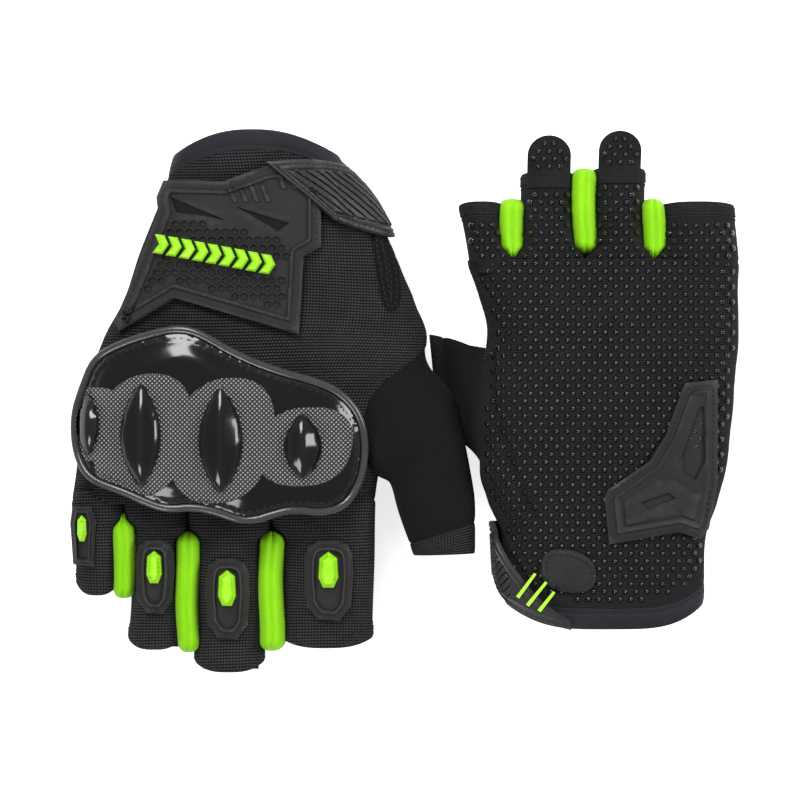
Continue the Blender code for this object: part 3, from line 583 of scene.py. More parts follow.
class Sewing:
    """Stitches gathered for one body: each is a six-sided spindle between two points of its row."""

    def __init__(self):
        self.points, self.faces, self.count = [], [], 0

    def row(self, path, pitch=2.2, thick=0.42):
        """Stitches a pitch apart along a path; each covers two thirds of its pitch."""
        knots = resample(path, pitch)
        start = knots[:-1]
        step = (knots[1:] - start) * STITCH_SHARE
        length = np.linalg.norm(step, axis=1, keepdims=True) + 1e-9
        along = step / length
        side = np.cross(along, [0.0, 0.0, 1.0])
        side /= np.linalg.norm(side, axis=1, keepdims=True) + 1e-9
        up = np.cross(side, along)
        turn = np.arange(6) * math.pi / 3
        rings = []
        for share_along, wide, sunk in SPINDLE:
            centre = start + step * share_along - up * sunk * thick
            ring = centre[:, None] + thick / 2 * wide * (
                np.cos(turn)[None, :, None] * side[:, None] + np.sin(turn)[None, :, None] * up[:, None]
            )
            rings.append(ring)
        points = np.stack(rings, 1).reshape(-1, 3)
        one = join_grid(4, 6, True)
        many = (one[None] + 24 * np.arange(len(start))[:, None, None]).reshape(-1, 4) + self.count
        self.points.append(points)
        self.faces.append(many)
        caps = [[self.count + 24 * n + k for k in range(5, -1, -1)] for n in range(len(start))]
        ends = [[self.count + 24 * n + 18 + k for k in range(6)] for n in range(len(start))]
        self.faces.append(caps + ends)
        self.count += len(points)

    def make(self, glove, name, material, body, slot):
        """All the stitches as one piece."""
        points = np.concatenate(self.points)
        faces = [list(face) for group in self.faces for face in group]
        return make_piece(glove, name, points, faces, points[:, :2], material, body)


def plain_tone(tree, grain):
    """Slow and fine grain together."""
    return maths(tree, "MULTIPLY", grain.outputs["Slow"], grain.outputs["Fine"])


def grain_height(_, grain):
    """The fine grain alone."""
    return grain.outputs["Fine"]


thread = finish("black_thread", (0.012, 0.012, 0.013), (0.055, 0.055, 0.058), plain_tone, grain_height, 0.06, 0.7)
seams = {(side, body): Sewing() for side in ("right", "left") for body in ("hand", "strap", *FINGERS)}


# The cuff: a smooth bound edge of thin neoprene round the mouth, turned over the knit and sewn
# with one row of stitches. Its sides are cut back at the wrist.
CUFF_SEAM = 0.80  # share of the binding's breadth
binding_finish = finish(
    "cuff_neoprene", (0.008, 0.009, 0.013), (0.026, 0.027, 0.034), plain_tone, grain_height, 0.10, 0.62, sheen=0.1
)
for glove in gloves:
    turn = np.linspace(0, 2 * math.pi, 160, endpoint=False)[None, :]
    across = np.linspace(0, 1, 14)[:, None]
    v = mouth_line(turn) + BINDING * across
    u = glove.hand.around(turn, v)[..., 0]
    sewn_in = 0.35 * np.exp(-(((across - CUFF_SEAM) / 0.06) ** 2))
    plump = 0.35 * np.sin(np.pi * across) ** 0.5 + 0.12 * crumple(u, v, 6.0, 2.0) - sewn_in
    outer = glove.hand.around(turn, v, plump)
    inner = glove.hand.around(turn, v, -FABRIC + 0 * plump)
    uv = np.stack([turn * 26 + 0 * v, v], -1)
    make_shell(
        glove, f"{glove.side}_cuff_edge", outer, inner, uv, binding_finish, glove.hand_body,
        [f"{glove.side}_cuff_binding"], around=True,
    )
    turn = np.linspace(0, 2 * math.pi, 200)
    seams[glove.side, "hand"].row(glove.hand.around(turn, mouth_line(turn) + CUFF_SEAM * BINDING, 0.12), pitch=2.6)


# The palm: one panel of fine matt knit, printed all over with hard glossy drops of silicone in
# staggered rows for grip. A long curved crease runs round the base of the thumb.
PALM_RIB, PALM_LOOP = 0.62, 0.5


def palm_painted_shade_and_grain(tree, grain):
    """Painted shade of the fine knit's loops, pale on raised loops and dark in the hollows, made uneven by the slow
    grain.
    """
    knit = use_group(tree, knit_group, Rib=PALM_RIB, Loop=PALM_LOOP)
    return maths(tree, "MULTIPLY", knit.outputs["PaintedShade"], maths(tree, "ADD", grain.outputs["Slow"], 0.3))


def palm_height(tree, grain):
    """Fine knit on a slowly wavy ground."""
    knit = use_group(tree, knit_group, Rib=PALM_RIB, Loop=PALM_LOOP)
    return maths(tree, "ADD", knit.outputs["Height"], grain.outputs["Slow"])


# The palm cloth's dark and pale colours are blended by painted shade of its fine knit, with random slow grain.
palm_cloth = finish("palm_cloth", (0.004, 0.004, 0.005), (0.034, 0.034, 0.037), palm_painted_shade_and_grain, palm_height, 0.22, 0.85)
silicone = finish("silicone_drop", (0.006, 0.006, 0.007), (0.014, 0.014, 0.015), plain_tone, grain_height, 0.01, 0.12)


def palm_lift(u, v):
    """Soft hollows of a resting palm, and the crease round the base of the thumb."""
    crease = 19.0 + 20.0 * np.sin(np.clip((v - 34) / 62, 0, 1) * math.pi * 0.5 + 0.2)
    near = np.exp(-(((u - crease) / 1.4) ** 2)) * ease((v - 30) / 12) * ease((100 - v) / 12)
    return 0.45 * crumple(u, v, 8.0, 1.7) - 0.7 * near + 0.30 * crumple(u, v, 3.5, 4.0)


DROP_SIZE, DROP_ACROSS, DROP_ALONG, DROP_RISE = 2.0, 3.5, 2.5, 0.95
DOME = ((1.0, -0.1), (0.72, 0.62), (0.05, 1.0))  # share of the radius, share of the rise


def drops(surface, low_v, high_v, low_u, high_u, keep):
    """Flattened domes on a surface(u, v, rise): an eight-sided ring, a smaller one and a small flat top."""
    rows = np.arange(low_v, high_v, DROP_ALONG)
    places = []
    for n, v in enumerate(rows):
        u = np.arange(low_u + (n % 2) * DROP_ACROSS / 2, high_u, DROP_ACROSS)
        places.append(np.stack([u, np.full_like(u, v)], -1))
    places = np.concatenate(places)
    places = places[keep(places[:, 0], places[:, 1])]
    turn = np.arange(8) * math.pi / 4
    rings = []
    for share, rise in DOME:
        u = places[:, :1] + DROP_SIZE / 2 * share * np.cos(turn)
        v = places[:, 1:] + DROP_SIZE / 2 * share * np.sin(turn) * 1.15
        rings.append(surface(u, v, DROP_RISE * rise))
    points = np.stack(rings, 1).reshape(-1, 3)
    one = join_grid(3, 8, True)
    faces = (one[None] + 24 * np.arange(len(places))[:, None, None]).reshape(-1, 4).tolist()
    for n in range(len(places)):
        faces.append([24 * n + k for k in range(7, -1, -1)])
        faces.append([24 * n + 16 + k for k in range(8)])
    return points, faces


for glove in gloves:
    angle, v = panel_grid(glove, PALM, 170, 90)
    u = glove.hand.around(angle, v)[..., 0]
    outer = glove.hand.around(angle, v, palm_lift(u, v) - seam_dip(90, 70) - tuck(glove, v))
    inner = glove.hand.around(angle, v, -FABRIC)
    make_shell(
        glove, f"{glove.side}_palm_cloth", outer, inner, panel_uv(outer), palm_cloth, glove.hand_body,
        [f"{glove.side}_palm_panel"],
    )

    def on_palm(u, v):
        """Drops stop short of the side seams and of the cuff."""
        centre, wide, _, _ = glove.hand.section(v)
        cuff = mouth_line(np.arccos(np.clip((u - centre) / wide, -1, 1))) + BINDING
        return (np.abs(u - centre) < wide - 2.2) & (v > cuff + 2)

    palm_skin = lambda u, v, rise: glove.hand.over(u, v, palm_lift(u, v) + rise - 0.05, PALM)
    points, faces = drops(palm_skin, 10.0, glove.length - 0.4, -60.0, 60.0, on_palm)
    make_piece(
        glove, f"{glove.side}_palm_drops", points, faces, points[:, :2], silicone, glove.hand_body
    )


# The finger stalls: half fingers of the same knit, with palm cloth underneath, open at the end.
# Each ends in a flat hem turned in and sewn with two rows.
HEM = 4.6


def stall_end(glove, form, turn):
    """The open end is cut in an arch: it stops short at the sides of the finger."""
    return form.v[-1] + 0.4 - glove.arch * np.abs(np.cos(turn)) ** 2.6


def hem_lift(from_end):
    """The hem stands a little proud and its sewn rows pull it in."""
    hem = 0.35 * (1 - ease((from_end - HEM) / 1.0)) - 0.30 * np.exp(-(((from_end - HEM + 0.4) / 0.5) ** 2))
    return hem - 0.4 * np.exp(-from_end / 0.5)


def finger_bend(glove, finger):
    """The body pair and the span over which the cloth turns from the hand to the finger."""
    form = glove.fingers[finger]
    centre = (form.low[-1] + form.high[-1]) / 2
    ends = [glove.place((centre, glove.length + offset, 12.0)) for offset in (-4.0, 6.0)]
    return (glove.hand_body, f"{glove.side}_{finger}", tuple(ends[0]), tuple(ends[1]))


for glove in gloves:
    for finger in FINGERS:
        form = glove.fingers[finger]
        columns = 57
        from_seam = np.minimum(np.arange(columns), np.arange(columns)[::-1])
        for side, material, label, ribbed in ((BACK, knit, "back", 1.0), (PALM, palm_cloth, "front", 0.0)):
            turn = side * np.linspace(-0.05 * ribbed, math.pi + 0.05 * ribbed, columns)[None, :]
            end = stall_end(glove, form, turn)
            v = form.v[0] + (end - form.v[0]) * np.linspace(0, 1, 110)[:, None]
            turn = turn + 0 * v
            u = form.around(turn, v)[..., 0]
            lift = 0.30 * crumple(u, v, 5.0, FINGERS.index(finger)) + hem_lift(end - v)
            lift = lift - 2.0 * (1 - ease((v - form.v[0]) / 5.0))
            lift = lift - 0.35 * np.exp(-from_seam * 0.9)
            outer, inner = form.around(turn, v, lift), form.around(turn, v, -FABRIC)
            make_shell(
                glove, f"{glove.side}_{finger}_{label}", outer, inner, panel_uv(outer), material,
                finger_bend(glove, finger), [f"{glove.side}_{finger}_stall"] if ribbed else [],
            )
        turn = np.linspace(0, 2 * math.pi, 90)
        for inward in (1.2, HEM - 0.9):
            sewn = form.around(turn, stall_end(glove, form, turn) - inward, 0.28)
            seams[glove.side, finger].row(sewn, pitch=1.9, thick=0.36)

        def on_finger(u, v):
            """Drops stop short of the seams and of the hem."""
            centre, wide, _, _ = form.section(v)
            return (np.abs(u - centre) < wide - 1.6) & (v < form.v[-1] - HEM - 0.8)

        finger_skin = lambda u, v, rise: form.over(u, v, rise + 0.15, PALM)
        points, faces = drops(finger_skin, glove.length + 1.6, form.v[-1], -60.0, 60.0, on_finger)
        make_piece(
            glove, f"{glove.side}_{finger}_drops", points, faces, points[:, :2], silicone,
            finger_bend(glove, finger),
        )


# Between the fingers a folded leaf of bright, smooth elastic cloth is sewn in. It swells a
# little between the stalls and is rounded at its free end.
bright_cloth = finish(
    "bright_elastic", (0.20, 0.56, 0.001), (0.42, 0.93, 0.012), plain_tone, grain_height, 0.15, 0.6, sheen=0.2
)
for glove in gloves:
    for first, second in zip(FINGERS, FINGERS[1:]):
        a, b = glove.fingers[first], glove.fingers[second]
        end = min(a.v[-1], b.v[-1]) + 1.5
        rows, columns = 60, 48
        along = np.linspace(0, 1, rows)[:, None]
        turn = np.linspace(0, 2 * math.pi, columns, endpoint=False)[None, :]
        crotch = glove.length + glove.crotches[FINGERS.index(first)]
        root = crotch - 2.6
        v = root + (end - root) * np.sin(along * math.pi / 2) ** 1.3 + 0 * turn
        beside = np.maximum(v, crotch + 0.7)
        low, high = a.section(np.minimum(beside, a.v[-1]))[0:2], b.section(np.minimum(beside, b.v[-1]))[0:2]
        near, far = low[0] + low[1], high[0] - high[1]
        middle = (near + far) / 2
        tip = np.sqrt(np.maximum(1 - np.maximum((v - end + 4) / 4, 0) ** 2.4, 0))
        opened = np.sqrt(1 - (1 - np.clip((v - root) / 4.5, 0, 1)) ** 2)
        half = ((far - near) / 2 + 1.7) * (0.06 + 0.94 * opened) * (0.25 + 0.75 * tip)
        wave = 0.35 * np.sin(v / 5.5 + 1.3 * FINGERS.index(first))
        depth = (STALL_DEPTH / 2 - 0.8) * (0.45 + 0.55 * tip) * (0.3 + 0.7 * opened)
        level = (a.middle[0] + b.middle[0]) / 2
        groove = 1 - 0.10 * np.exp(-((np.cos(turn) / 0.18) ** 2)) * (tip > 0)
        u = middle + wave * tip + half * np.cos(turn)
        w = level + depth * np.sign(np.sin(turn)) * np.abs(np.sin(turn)) ** 0.5 * groove
        points = np.stack([u, v, w], -1)
        root_face, end_face = np.arange(columns)[::-1], (rows - 1) * columns + np.arange(columns)
        faces = join_grid(rows, columns, True).tolist() + [root_face.tolist(), end_face.tolist()]
        uv = np.stack([turn * 8 + 0 * v, v], -1)
        name = f"{glove.side}_fourchette_{first}_{second}"
        leaf = make_piece(
            glove, name, points.reshape(-1, 3), faces, uv.reshape(-1, 2), bright_cloth, glove.hand_body,
            [f"{glove.side}_gusset_{first}_{second}"],
        )


# The thumb: a short open stall of brushed black suede cloth, sewn to the opening in the side of
# the hand. Its end is a band of ribbed knit; a side seam runs its length.
suede = finish(
    "brushed_suede", (0.002, 0.002, 0.0024), (0.013, 0.0126, 0.0136), plain_tone, grain_height, 0.30, 0.95, sheen=0.05
)


RUNG_SPACING, THUMB_RADIUS = 17.0, 11.5  # about; the cloth's pattern is laid out with them


def thumb_points(glove, along, turn, lift):
    """Rings swept from the side of the hand to the thumb's open end; along counts the rungs."""
    rungs = THUMBS[glove.side]
    count = np.arange(len(rungs))
    outer = np.stack([smooth_curve(count, [r[0][k] for r in rungs], along) for k in (0, 1)], -1)
    crotch = np.stack([smooth_curve(count, [r[1][k] for r in rungs], along) for k in (0, 1)], -1)
    middle, half = (smooth_curve(count, [r[k] for r in rungs], along) for k in (2, 3))
    centre, reach = (outer + crotch) / 2, (crotch - outer) / 2
    grow = 1 + lift / np.linalg.norm(reach, axis=-1)
    plan = centre + np.cos(turn)[..., None] * reach * grow[..., None]
    w = middle + (half * 0.5 + lift) * np.sign(np.sin(turn)) * np.abs(np.sin(turn)) ** 0.85
    points = np.concatenate([plan, w[..., None]], -1)
    hand_centre, wide, level, depth = glove.hand.section(plan[..., 1])
    power = np.where(w > level, BACK_POWER, PALM_POWER)
    drop = np.clip(np.abs(w - level) / depth, 0, 0.96)
    seat = hand_centre + wide * (1 - drop**power) ** (1 / power) - 0.6
    near = 1 - ease(along / 0.9)
    points[..., 0] = points[..., 0] * (1 - near) + seat * near
    return points


THUMB_BEND = {"right": ((58.0, 96.0, 20.0), (62.0, 108.0, 20.0)), "left": ((44.0, 70.0, 20.0), (49.0, 74.0, 24.0))}
for glove in gloves:
    last = len(THUMBS[glove.side]) - 1
    bend_at = [glove.place(p) for p in THUMB_BEND[glove.side]]
    body = (glove.hand_body, f"{glove.side}_thumb", tuple(bend_at[0]), tuple(bend_at[1]))
    split = last - 0.62
    for name, start, end, material, rows in (
        ("thumb_suede", 0.0, split, suede, 90), ("thumb_cuff", split, float(last), knit, 80),
    ):
        along = np.linspace(start, end, rows)[:, None]
        turn = np.linspace(0, 2 * math.pi, 96, endpoint=False)[None, :] + 0 * along
        along = along + 0 * turn
        base = thumb_points(glove, along, turn, 0 * turn)
        side_seam = 0.5 * np.exp(-(((turn - math.pi) / 0.06) ** 2))
        lift = 0.35 * crumple(base[..., 1], base[..., 2], 6.0, 3.0) - side_seam
        if material is knit:
            lift = lift + ribs(along * RUNG_SPACING) - 0.35 * np.exp(-(end - along) * 20)
        lift = lift - 0.45 * np.exp(-np.abs(along - split) * 16)
        outer, inner = thumb_points(glove, along, turn, lift), thumb_points(glove, along, turn, -FABRIC + 0 * turn)
        uv = np.stack([turn * THUMB_RADIUS, along * RUNG_SPACING], -1)
        make_shell(
            glove, f"{glove.side}_{name}", outer, inner, uv, material, body,
            [f"{glove.side}_thumb_stall"] if material is suede else [], around=True,
        )


# Moulded rubber trim: the wrist panel, the palm slider, the finger pads and their gems are all
# flat mouldings with steps, bars and recesses. A moulding is cut in plan and laid on a form.
def shift_in(loop, distance):
    """The closed anticlockwise loop moved inwards by a distance, its corners mitred."""
    before, after = np.roll(loop, 1, axis=0), np.roll(loop, -1, axis=0)
    a, b = loop - before, after - loop
    a /= np.linalg.norm(a, axis=1, keepdims=True) + 1e-12
    b /= np.linalg.norm(b, axis=1, keepdims=True) + 1e-12
    normal = np.stack([-(a + b)[:, 1], (a + b)[:, 0]], -1)
    normal /= np.linalg.norm(normal, axis=1, keepdims=True) + 1e-12
    turn = normal[:, 0] * -a[:, 1] + normal[:, 1] * a[:, 0]
    return loop + normal * distance / np.maximum(turn, 0.5)[:, None]


def anticlockwise(loop):
    """The loop as an array, turned round where it runs clockwise."""
    loop = np.asarray(loop, float)
    ahead = np.roll(loop, -1, axis=0)
    return loop if (loop[:, 0] * ahead[:, 1] - ahead[:, 0] * loop[:, 1]).sum() > 0 else loop[::-1]


def inside(loop, points):
    """Even-odd rule: how many edges of the loop a ray along +u crosses."""
    u, v = points[:, 0][:, None], points[:, 1][:, None]
    ahead = np.roll(loop, -1, axis=0)
    crosses = (loop[:, 1] > v) != (ahead[:, 1] > v)
    rise = np.where(ahead[:, 1] == loop[:, 1], 1e-9, ahead[:, 1] - loop[:, 1])
    at = loop[:, 0] + (v - loop[:, 1]) / rise * (ahead[:, 0] - loop[:, 0])
    return (crosses & (u < at)).sum(axis=1) % 2 == 1


def dense(loop, spacing):
    """The loop with points added along its edges; its own corners stay."""
    parts = []
    for a, b in zip(loop, np.roll(loop, -1, axis=0)):
        count = max(int(np.ceil(np.linalg.norm(b - a) / spacing)), 1)
        parts.append(a + (b - a) * (np.arange(count) / count)[:, None])
    return np.concatenate(parts)


def rounded(loop, rounds=2):
    """Corner cutting: each edge keeps its middle half, and the corners turn into curves."""
    for _ in range(rounds):
        ahead = np.roll(loop, -1, axis=0)
        loop = np.stack([0.75 * loop + 0.25 * ahead, 0.25 * loop + 0.75 * ahead], 1).reshape(-1, 2)
    return loop


def moulding(outline, features, surface, spacing, base, dome=None):
    """Points, faces and plan of a moulding.

    features are (loop, slope, height): inside the loop the top steps by height over slope. surface
    turns plan places and a lift into points; the underside lies at lift base; dome(places) adds
    to the top.
    """
    outline = dense(anticlockwise(outline), spacing)
    steps = [(dense(anticlockwise(loop), spacing), slope, height) for loop, slope, height in features]
    steps = [(loop, shift_in(loop, slope), height) for loop, slope, height in steps]

    def level(places, but=-1):
        """The steps' heights at places, leaving out one feature."""
        total = np.zeros(len(places))
        for number, (_, inner, height) in enumerate(steps):
            if number != but:
                total = total + height * inside(inner, places)
        return total

    plan, edges, heights = [], [], []

    def add_loop(loop, height):
        """A loop of places with heights, joined by edges that the cut has to keep."""
        start = sum(len(x) for x in plan)
        plan.append(loop)
        heights.append(height)
        edges.extend((start + i, start + (i + 1) % len(loop)) for i in range(len(loop)))

    add_loop(outline, np.zeros(len(outline)))
    for number, (outer, inner, height) in enumerate(steps):
        add_loop(outer, level(outer, number))
        add_loop(inner, level(inner, number) + height)
    low, high = outline.min(axis=0), outline.max(axis=0)
    columns, rows = (np.arange(low[k], high[k], spacing) for k in (0, 1))
    grid = np.stack(np.meshgrid(columns, rows), -1).reshape(-1, 2)
    grid = grid[inside(shift_in(outline, 0.3 * spacing), grid)]
    fixed = np.concatenate(plan)
    far = np.ones(len(grid), bool)
    for chunk in np.array_split(fixed, max(len(fixed) // 400, 1)):
        far &= np.linalg.norm(grid[:, None] - chunk[None], axis=2).min(axis=1) > 0.3 * spacing
    grid = grid[far]
    plan.append(grid)
    heights.append(level(grid))
    plan, heights = np.concatenate(plan), np.concatenate(heights)
    cut = delaunay_2d_cdt([Vector(p) for p in plan], edges, [], 1, 1e-6)
    places = np.array([tuple(p) for p in cut[0]])
    tops = np.array([heights[came[0]] if came else level(places[i : i + 1])[0] for i, came in enumerate(cut[3])])
    if dome is not None:
        tops = tops + dome(places)
    top = surface(places[:, 0], places[:, 1], tops)
    under = surface(places[:, 0], places[:, 1], np.full(len(places), float(base)))
    triangles = [list(face) for face in cut[2]]
    count = len(places)
    sides = {side: True for face in triangles for side in zip(face, face[1:] + face[:1])}
    rim = [[a, b, b + count, a + count][::-1] for a, b in sides if (b, a) not in sides]
    faces = triangles + [[k + count for k in face[::-1]] for face in triangles] + rim
    return np.concatenate([top, under]), faces, np.concatenate([places, places])


def on(form, side, top):
    """A surface laid on a form's skin: the lift given is measured from top."""
    return lambda u, v, rise: form.over(u, v, top + rise, side)


def joined(group):
    """Several mouldings as one: their points, faces and plans."""
    offsets = np.cumsum([0] + [len(points) for points, _, _ in group])
    faces = [[k + offset for k in face] for (_, some, _), offset in zip(group, offsets) for face in some]
    return np.concatenate([points for points, _, _ in group]), faces, np.concatenate([plan for _, _, plan in group])


def sew_round(side, part, loop, surface, rise, pitch, thick=0.42, spacing=0.9):
    """A closed row of stitches along a plan loop laid on a surface(u, v, rise)."""
    loop = resample(loop, spacing, closed=True)
    loop = np.concatenate([loop, loop[:1]])
    seams[side, part].row(surface(loop[:, 0], loop[:, 1], rise), pitch, thick)


rubber = finish(
    "moulded_rubber", (0.015, 0.0145, 0.0145), (0.040, 0.0385, 0.0385), plain_tone, grain_height, 0.05, 0.52,
    worn=(0.085, 0.083, 0.083),
)
recess_finish = finish(
    "recess_gloss", (0.004, 0.004, 0.004), (0.010, 0.010, 0.010), plain_tone, grain_height, 0.01, 0.22
)
gem_finish = finish(
    "bright_rubber", (0.24, 0.66, 0.001), (0.40, 0.88, 0.008), plain_tone, grain_height, 0.03, 0.38,
    worn=(0.62, 1.0, 0.10),
)


# On the back of each finger a moulded pad is sewn down by its flange. A raised border rings a
# well, and in the well sits a bright faceted gem.
PAD_SHAPE = [(-0.74, 0.0), (0.62, 0.0), (1.0, 0.24), (0.80, 1.0), (-0.84, 0.97), (-1.0, 0.30)]
PADS = {  # u, start past the knuckle line, length, width
    "right": {"little": (-55.5, 0.8, 20.0, 9.0), "ring": (-31.6, 12.0, 24.5, 13.4),
              "middle": (-7.5, 18.0, 27.0, 15.4), "index": (26.0, 12.0, 27.0, 17.0)},
    "left": {"little": (-31.0, 1.5, 14.5, 9.0), "ring": (-3.7, 3.0, 22.0, 13.0),
             "middle": (19.5, 3.0, 22.0, 13.6), "index": (40.8, 1.5, 14.5, 10.0)},
}
GEM_SHAPE = np.array([
    (0.0, -1.0), (0.75, -0.62), (0.85, 0.45), (0.45, 1.0), (-0.45, 1.0), (-0.85, 0.45), (-0.75, -0.62),
])
PAD_LIFT = 1.1
for glove in gloves:
    for finger in FINGERS:
        form = glove.fingers[finger]
        across, start, length, width = PADS[glove.side][finger]
        first = glove.length + 0.5 + start
        outline = np.array([(across + x * width / 2, first + y * length) for x, y in PAD_SHAPE])
        outline = rounded(anticlockwise(outline), 1) if width > 12 else anticlockwise(outline)
        flange = min(2.1, width * 0.14)
        wall = min(1.0, width * 0.08)
        features = [
            (shift_in(outline, 0.15), 0.35, 0.5),
            (shift_in(outline, flange), 0.35, 0.95),
            (shift_in(outline, flange + wall), 0.4, -1.1),
        ]
        body = f"{glove.side}_{finger}"
        points, faces, plan = moulding(outline, features, on(form, BACK, PAD_LIFT), 1.3, -1.2)
        make_piece(glove, f"{body}_moulded_pad", points, faces, plan, rubber, body, [f"{body}_pad"])
        sewn = dense(shift_in(outline, 0.55 * flange), 0.8)
        sew_round(glove.side, finger, sewn, on(form, BACK, PAD_LIFT), 0.5, pitch=1.5, thick=0.34)
        centre = outline.mean(axis=0)
        gem = anticlockwise(centre - [0, 0.06 * length] + GEM_SHAPE * [width * 0.235, length * 0.225])
        facets = [(shift_in(gem, 0.02), 0.25, 1.5), (shift_in(gem, 0.30), 1.1, 1.2)]
        points, faces, plan = moulding(gem, facets, on(form, BACK, 1.3), 1.5, -0.6)
        make_piece(
            glove, f"{body}_gem", points, faces, plan, gem_finish, body, [f"{body}_insert"], smooth=False
        )


# Over the back of the wrist lies one moulded panel, sewn down along its flange. It has a field
# of small hexagonal cells, two triangular recesses, slanted bars and a raised bright emblem.
TRIM_LIFT = 3.3
PANEL = [
    (-45.2, 63.0), (-38.9, 48.5), (-30.5, 27.0), (-31.3, 22.0), (-29.0, 16.5), (-8.5, 17.2), (5.5, 12.3),
    (23.5, 10.6), (23.5, 38.5), (17.8, 42.0), (16.2, 67.5), (-24.8, 55.5), (-43.6, 66.4),
]
RECESSES = [[(-26.2, 22.2), (-24.4, 27.4), (-8.0, 30.0)], [(-4.4, 25.6), (13.2, 31.0), (9.4, 33.8)]]
CELL_PITCH, CELL_RADIUS = 3.05, 1.52
EMBLEM_SLOPE = 0.19


def cells(outline, scale):
    """Hexagons in staggered rows, kept where they lie well inside the outline and off the emblem."""
    places = []
    for n, v in enumerate(np.arange(31.5, 62.0, CELL_PITCH * 0.866)):
        u = np.arange(-46.0 + (n % 2) * CELL_PITCH / 2, 18.0, CELL_PITCH)
        places.append(np.stack([u, np.full_like(u, v)], -1))
    places = np.concatenate(places)
    turn = np.arange(6) * math.pi / 3 + math.pi / 6
    room = shift_in(outline, 4.3)
    kept = []
    for u, v in places:
        off_emblem = abs(v - (41.7 + EMBLEM_SLOPE * (u + 11.0))) > 3.3 or not -33.5 < u < 11.5
        radius = CELL_RADIUS * scale
        hexagon = np.stack([u * scale + radius * np.cos(turn), v + radius * np.sin(turn)], -1)
        below = v > 32.4 + 0.20 * (u + 10.0)
        if off_emblem and below and inside(room, hexagon).all():
            kept.append(hexagon)
    return kept


for glove in gloves:
    scale = 1.0 if glove.side == "right" else 0.86
    outline = anticlockwise(np.array(PANEL) * [scale, 1.0])
    features = [
        (shift_in(outline, 0.15), 0.45, 0.5),
        (shift_in(outline, 2.9), 0.40, 0.75),
        (shift_in(outline, 4.1), 0.40, -0.75),
    ]
    recesses = [anticlockwise(np.array(corners) * [scale, 1.0]) for corners in RECESSES]
    features += [(hexagon, 0.26 * scale, -0.75) for hexagon in cells(outline, scale)]
    features += [(corners, 0.25, -1.0) for corners in recesses]
    for k in range(4):
        u, drop = (-7.5 + 3.6 * k) * scale, 0.35 * k
        bar = [(u, 19.6 - drop), (u + 1.7, 19.4 - drop), (u + 3.9, 24.2), (u + 2.1, 24.4)]
        features.append((bar, 0.3, 0.6))
    for k in range(3):
        u = (9.0 + 3.6 * k) * scale
        features.append(([(u, 15.8), (u + 1.8, 15.7), (u + 3.6, 20.0), (u + 1.6, 20.0)], 0.3, 0.6))
    panel_top = on(glove.hand, BACK, TRIM_LIFT - 0.9)
    points, faces, plan = moulding(outline, features, panel_top, 1.7, -1.9)
    make_piece(
        glove, f"{glove.side}_wrist_moulding", points, faces, plan, rubber, glove.hand_body,
        [f"{glove.side}_wrist_panel"],
    )
    sew_round(glove.side, "hand", dense(shift_in(outline, 1.55), 0.8), panel_top, 0.5, pitch=2.1)
    recess_top = on(glove.hand, BACK, TRIM_LIFT - 0.9 - 0.42)
    floors = [moulding(shift_in(corners, 0.3), [], recess_top, 1.7, -0.4) for corners in recesses]
    points, faces, plan = joined(floors)
    make_piece(
        glove, f"{glove.side}_wrist_recess_floors", points, faces, plan, recess_finish, glove.hand_body
    )
    bars = []
    for k in range(9):
        u = (-31.3 + 4.4 * k) * scale
        rise = 38.3 + EMBLEM_SLOPE * (u + 11.0)
        wide, nose, tilt = 3.2 * scale, 1.4 * scale, -0.8 * scale
        corners = anticlockwise([
            (u, rise), (u + wide, rise + 0.5), (u + wide + nose, rise + 3.6), (u + wide + tilt, rise + 6.7),
            (u + tilt, rise + 6.2), (u + nose, rise + 3.3),
        ])
        edge = (shift_in(corners, 0.02), 0.5, 0.9)
        bars.append(moulding(corners, [edge], on(glove.hand, BACK, TRIM_LIFT + 1.2), 1.7, -2.6))
    points, faces, plan = joined(bars)
    make_piece(
        glove, f"{glove.side}_wrist_chevrons", points, faces, plan, gem_finish, glove.hand_body,
        [f"{glove.side}_wrist_emblem"],
    )


# On the thumb side of the wrist a soft worn patch of brushed cloth is stitched to the back.
PATCH = np.array([(39.8, 33.5), (44.0, 31.0), (48.6, 42.0), (50.2, 55.0), (47.4, 61.0), (43.6, 57.5), (42.2, 47.0)])
PATCH_SHIFT = {"right": 0.0, "left": -10.5}
for glove in gloves:
    patch = rounded(anticlockwise(PATCH + [PATCH_SHIFT[glove.side], 0.0]), 2)
    patch_top = on(glove.hand, BACK, 0.5)
    rough_top = lambda p: 0.10 * crumple(p[:, 0] * 6, p[:, 1] * 6, 1.5, 5.0)
    points, faces, plan = moulding(patch, [(shift_in(patch, 0.1), 0.5, 0.5)], patch_top, 0.9, -0.6, rough_top)
    make_piece(glove, f"{glove.side}_wrist_patch", points, faces, plan, suede, glove.hand_body)
    for inward in (1.1, 3.0):
        sew_round(glove.side, "hand", shift_in(patch, inward), patch_top, 0.65, pitch=2.0, thick=0.36)


# The closing strap: a ribbed moulded band sewn round the thumb side of the wrist, and its free
# tab, which presses onto a fuzzy patch on the palm and peels away. Three bright bars mark the tab.
STRAP_FROM = {"right": 0.70, "left": 0.90}
TAB_FROM, TAB_TO = -0.125, -1.42
BAND_ROWS, BAND_COLUMNS = 70, 130
STRIPES = (((29.8, 10.6), (24.2, 18.6)), ((26.6, 8.0), (20.6, 15.8)), ((22.8, 6.2), (18.0, 12.6)))  # ends in plan


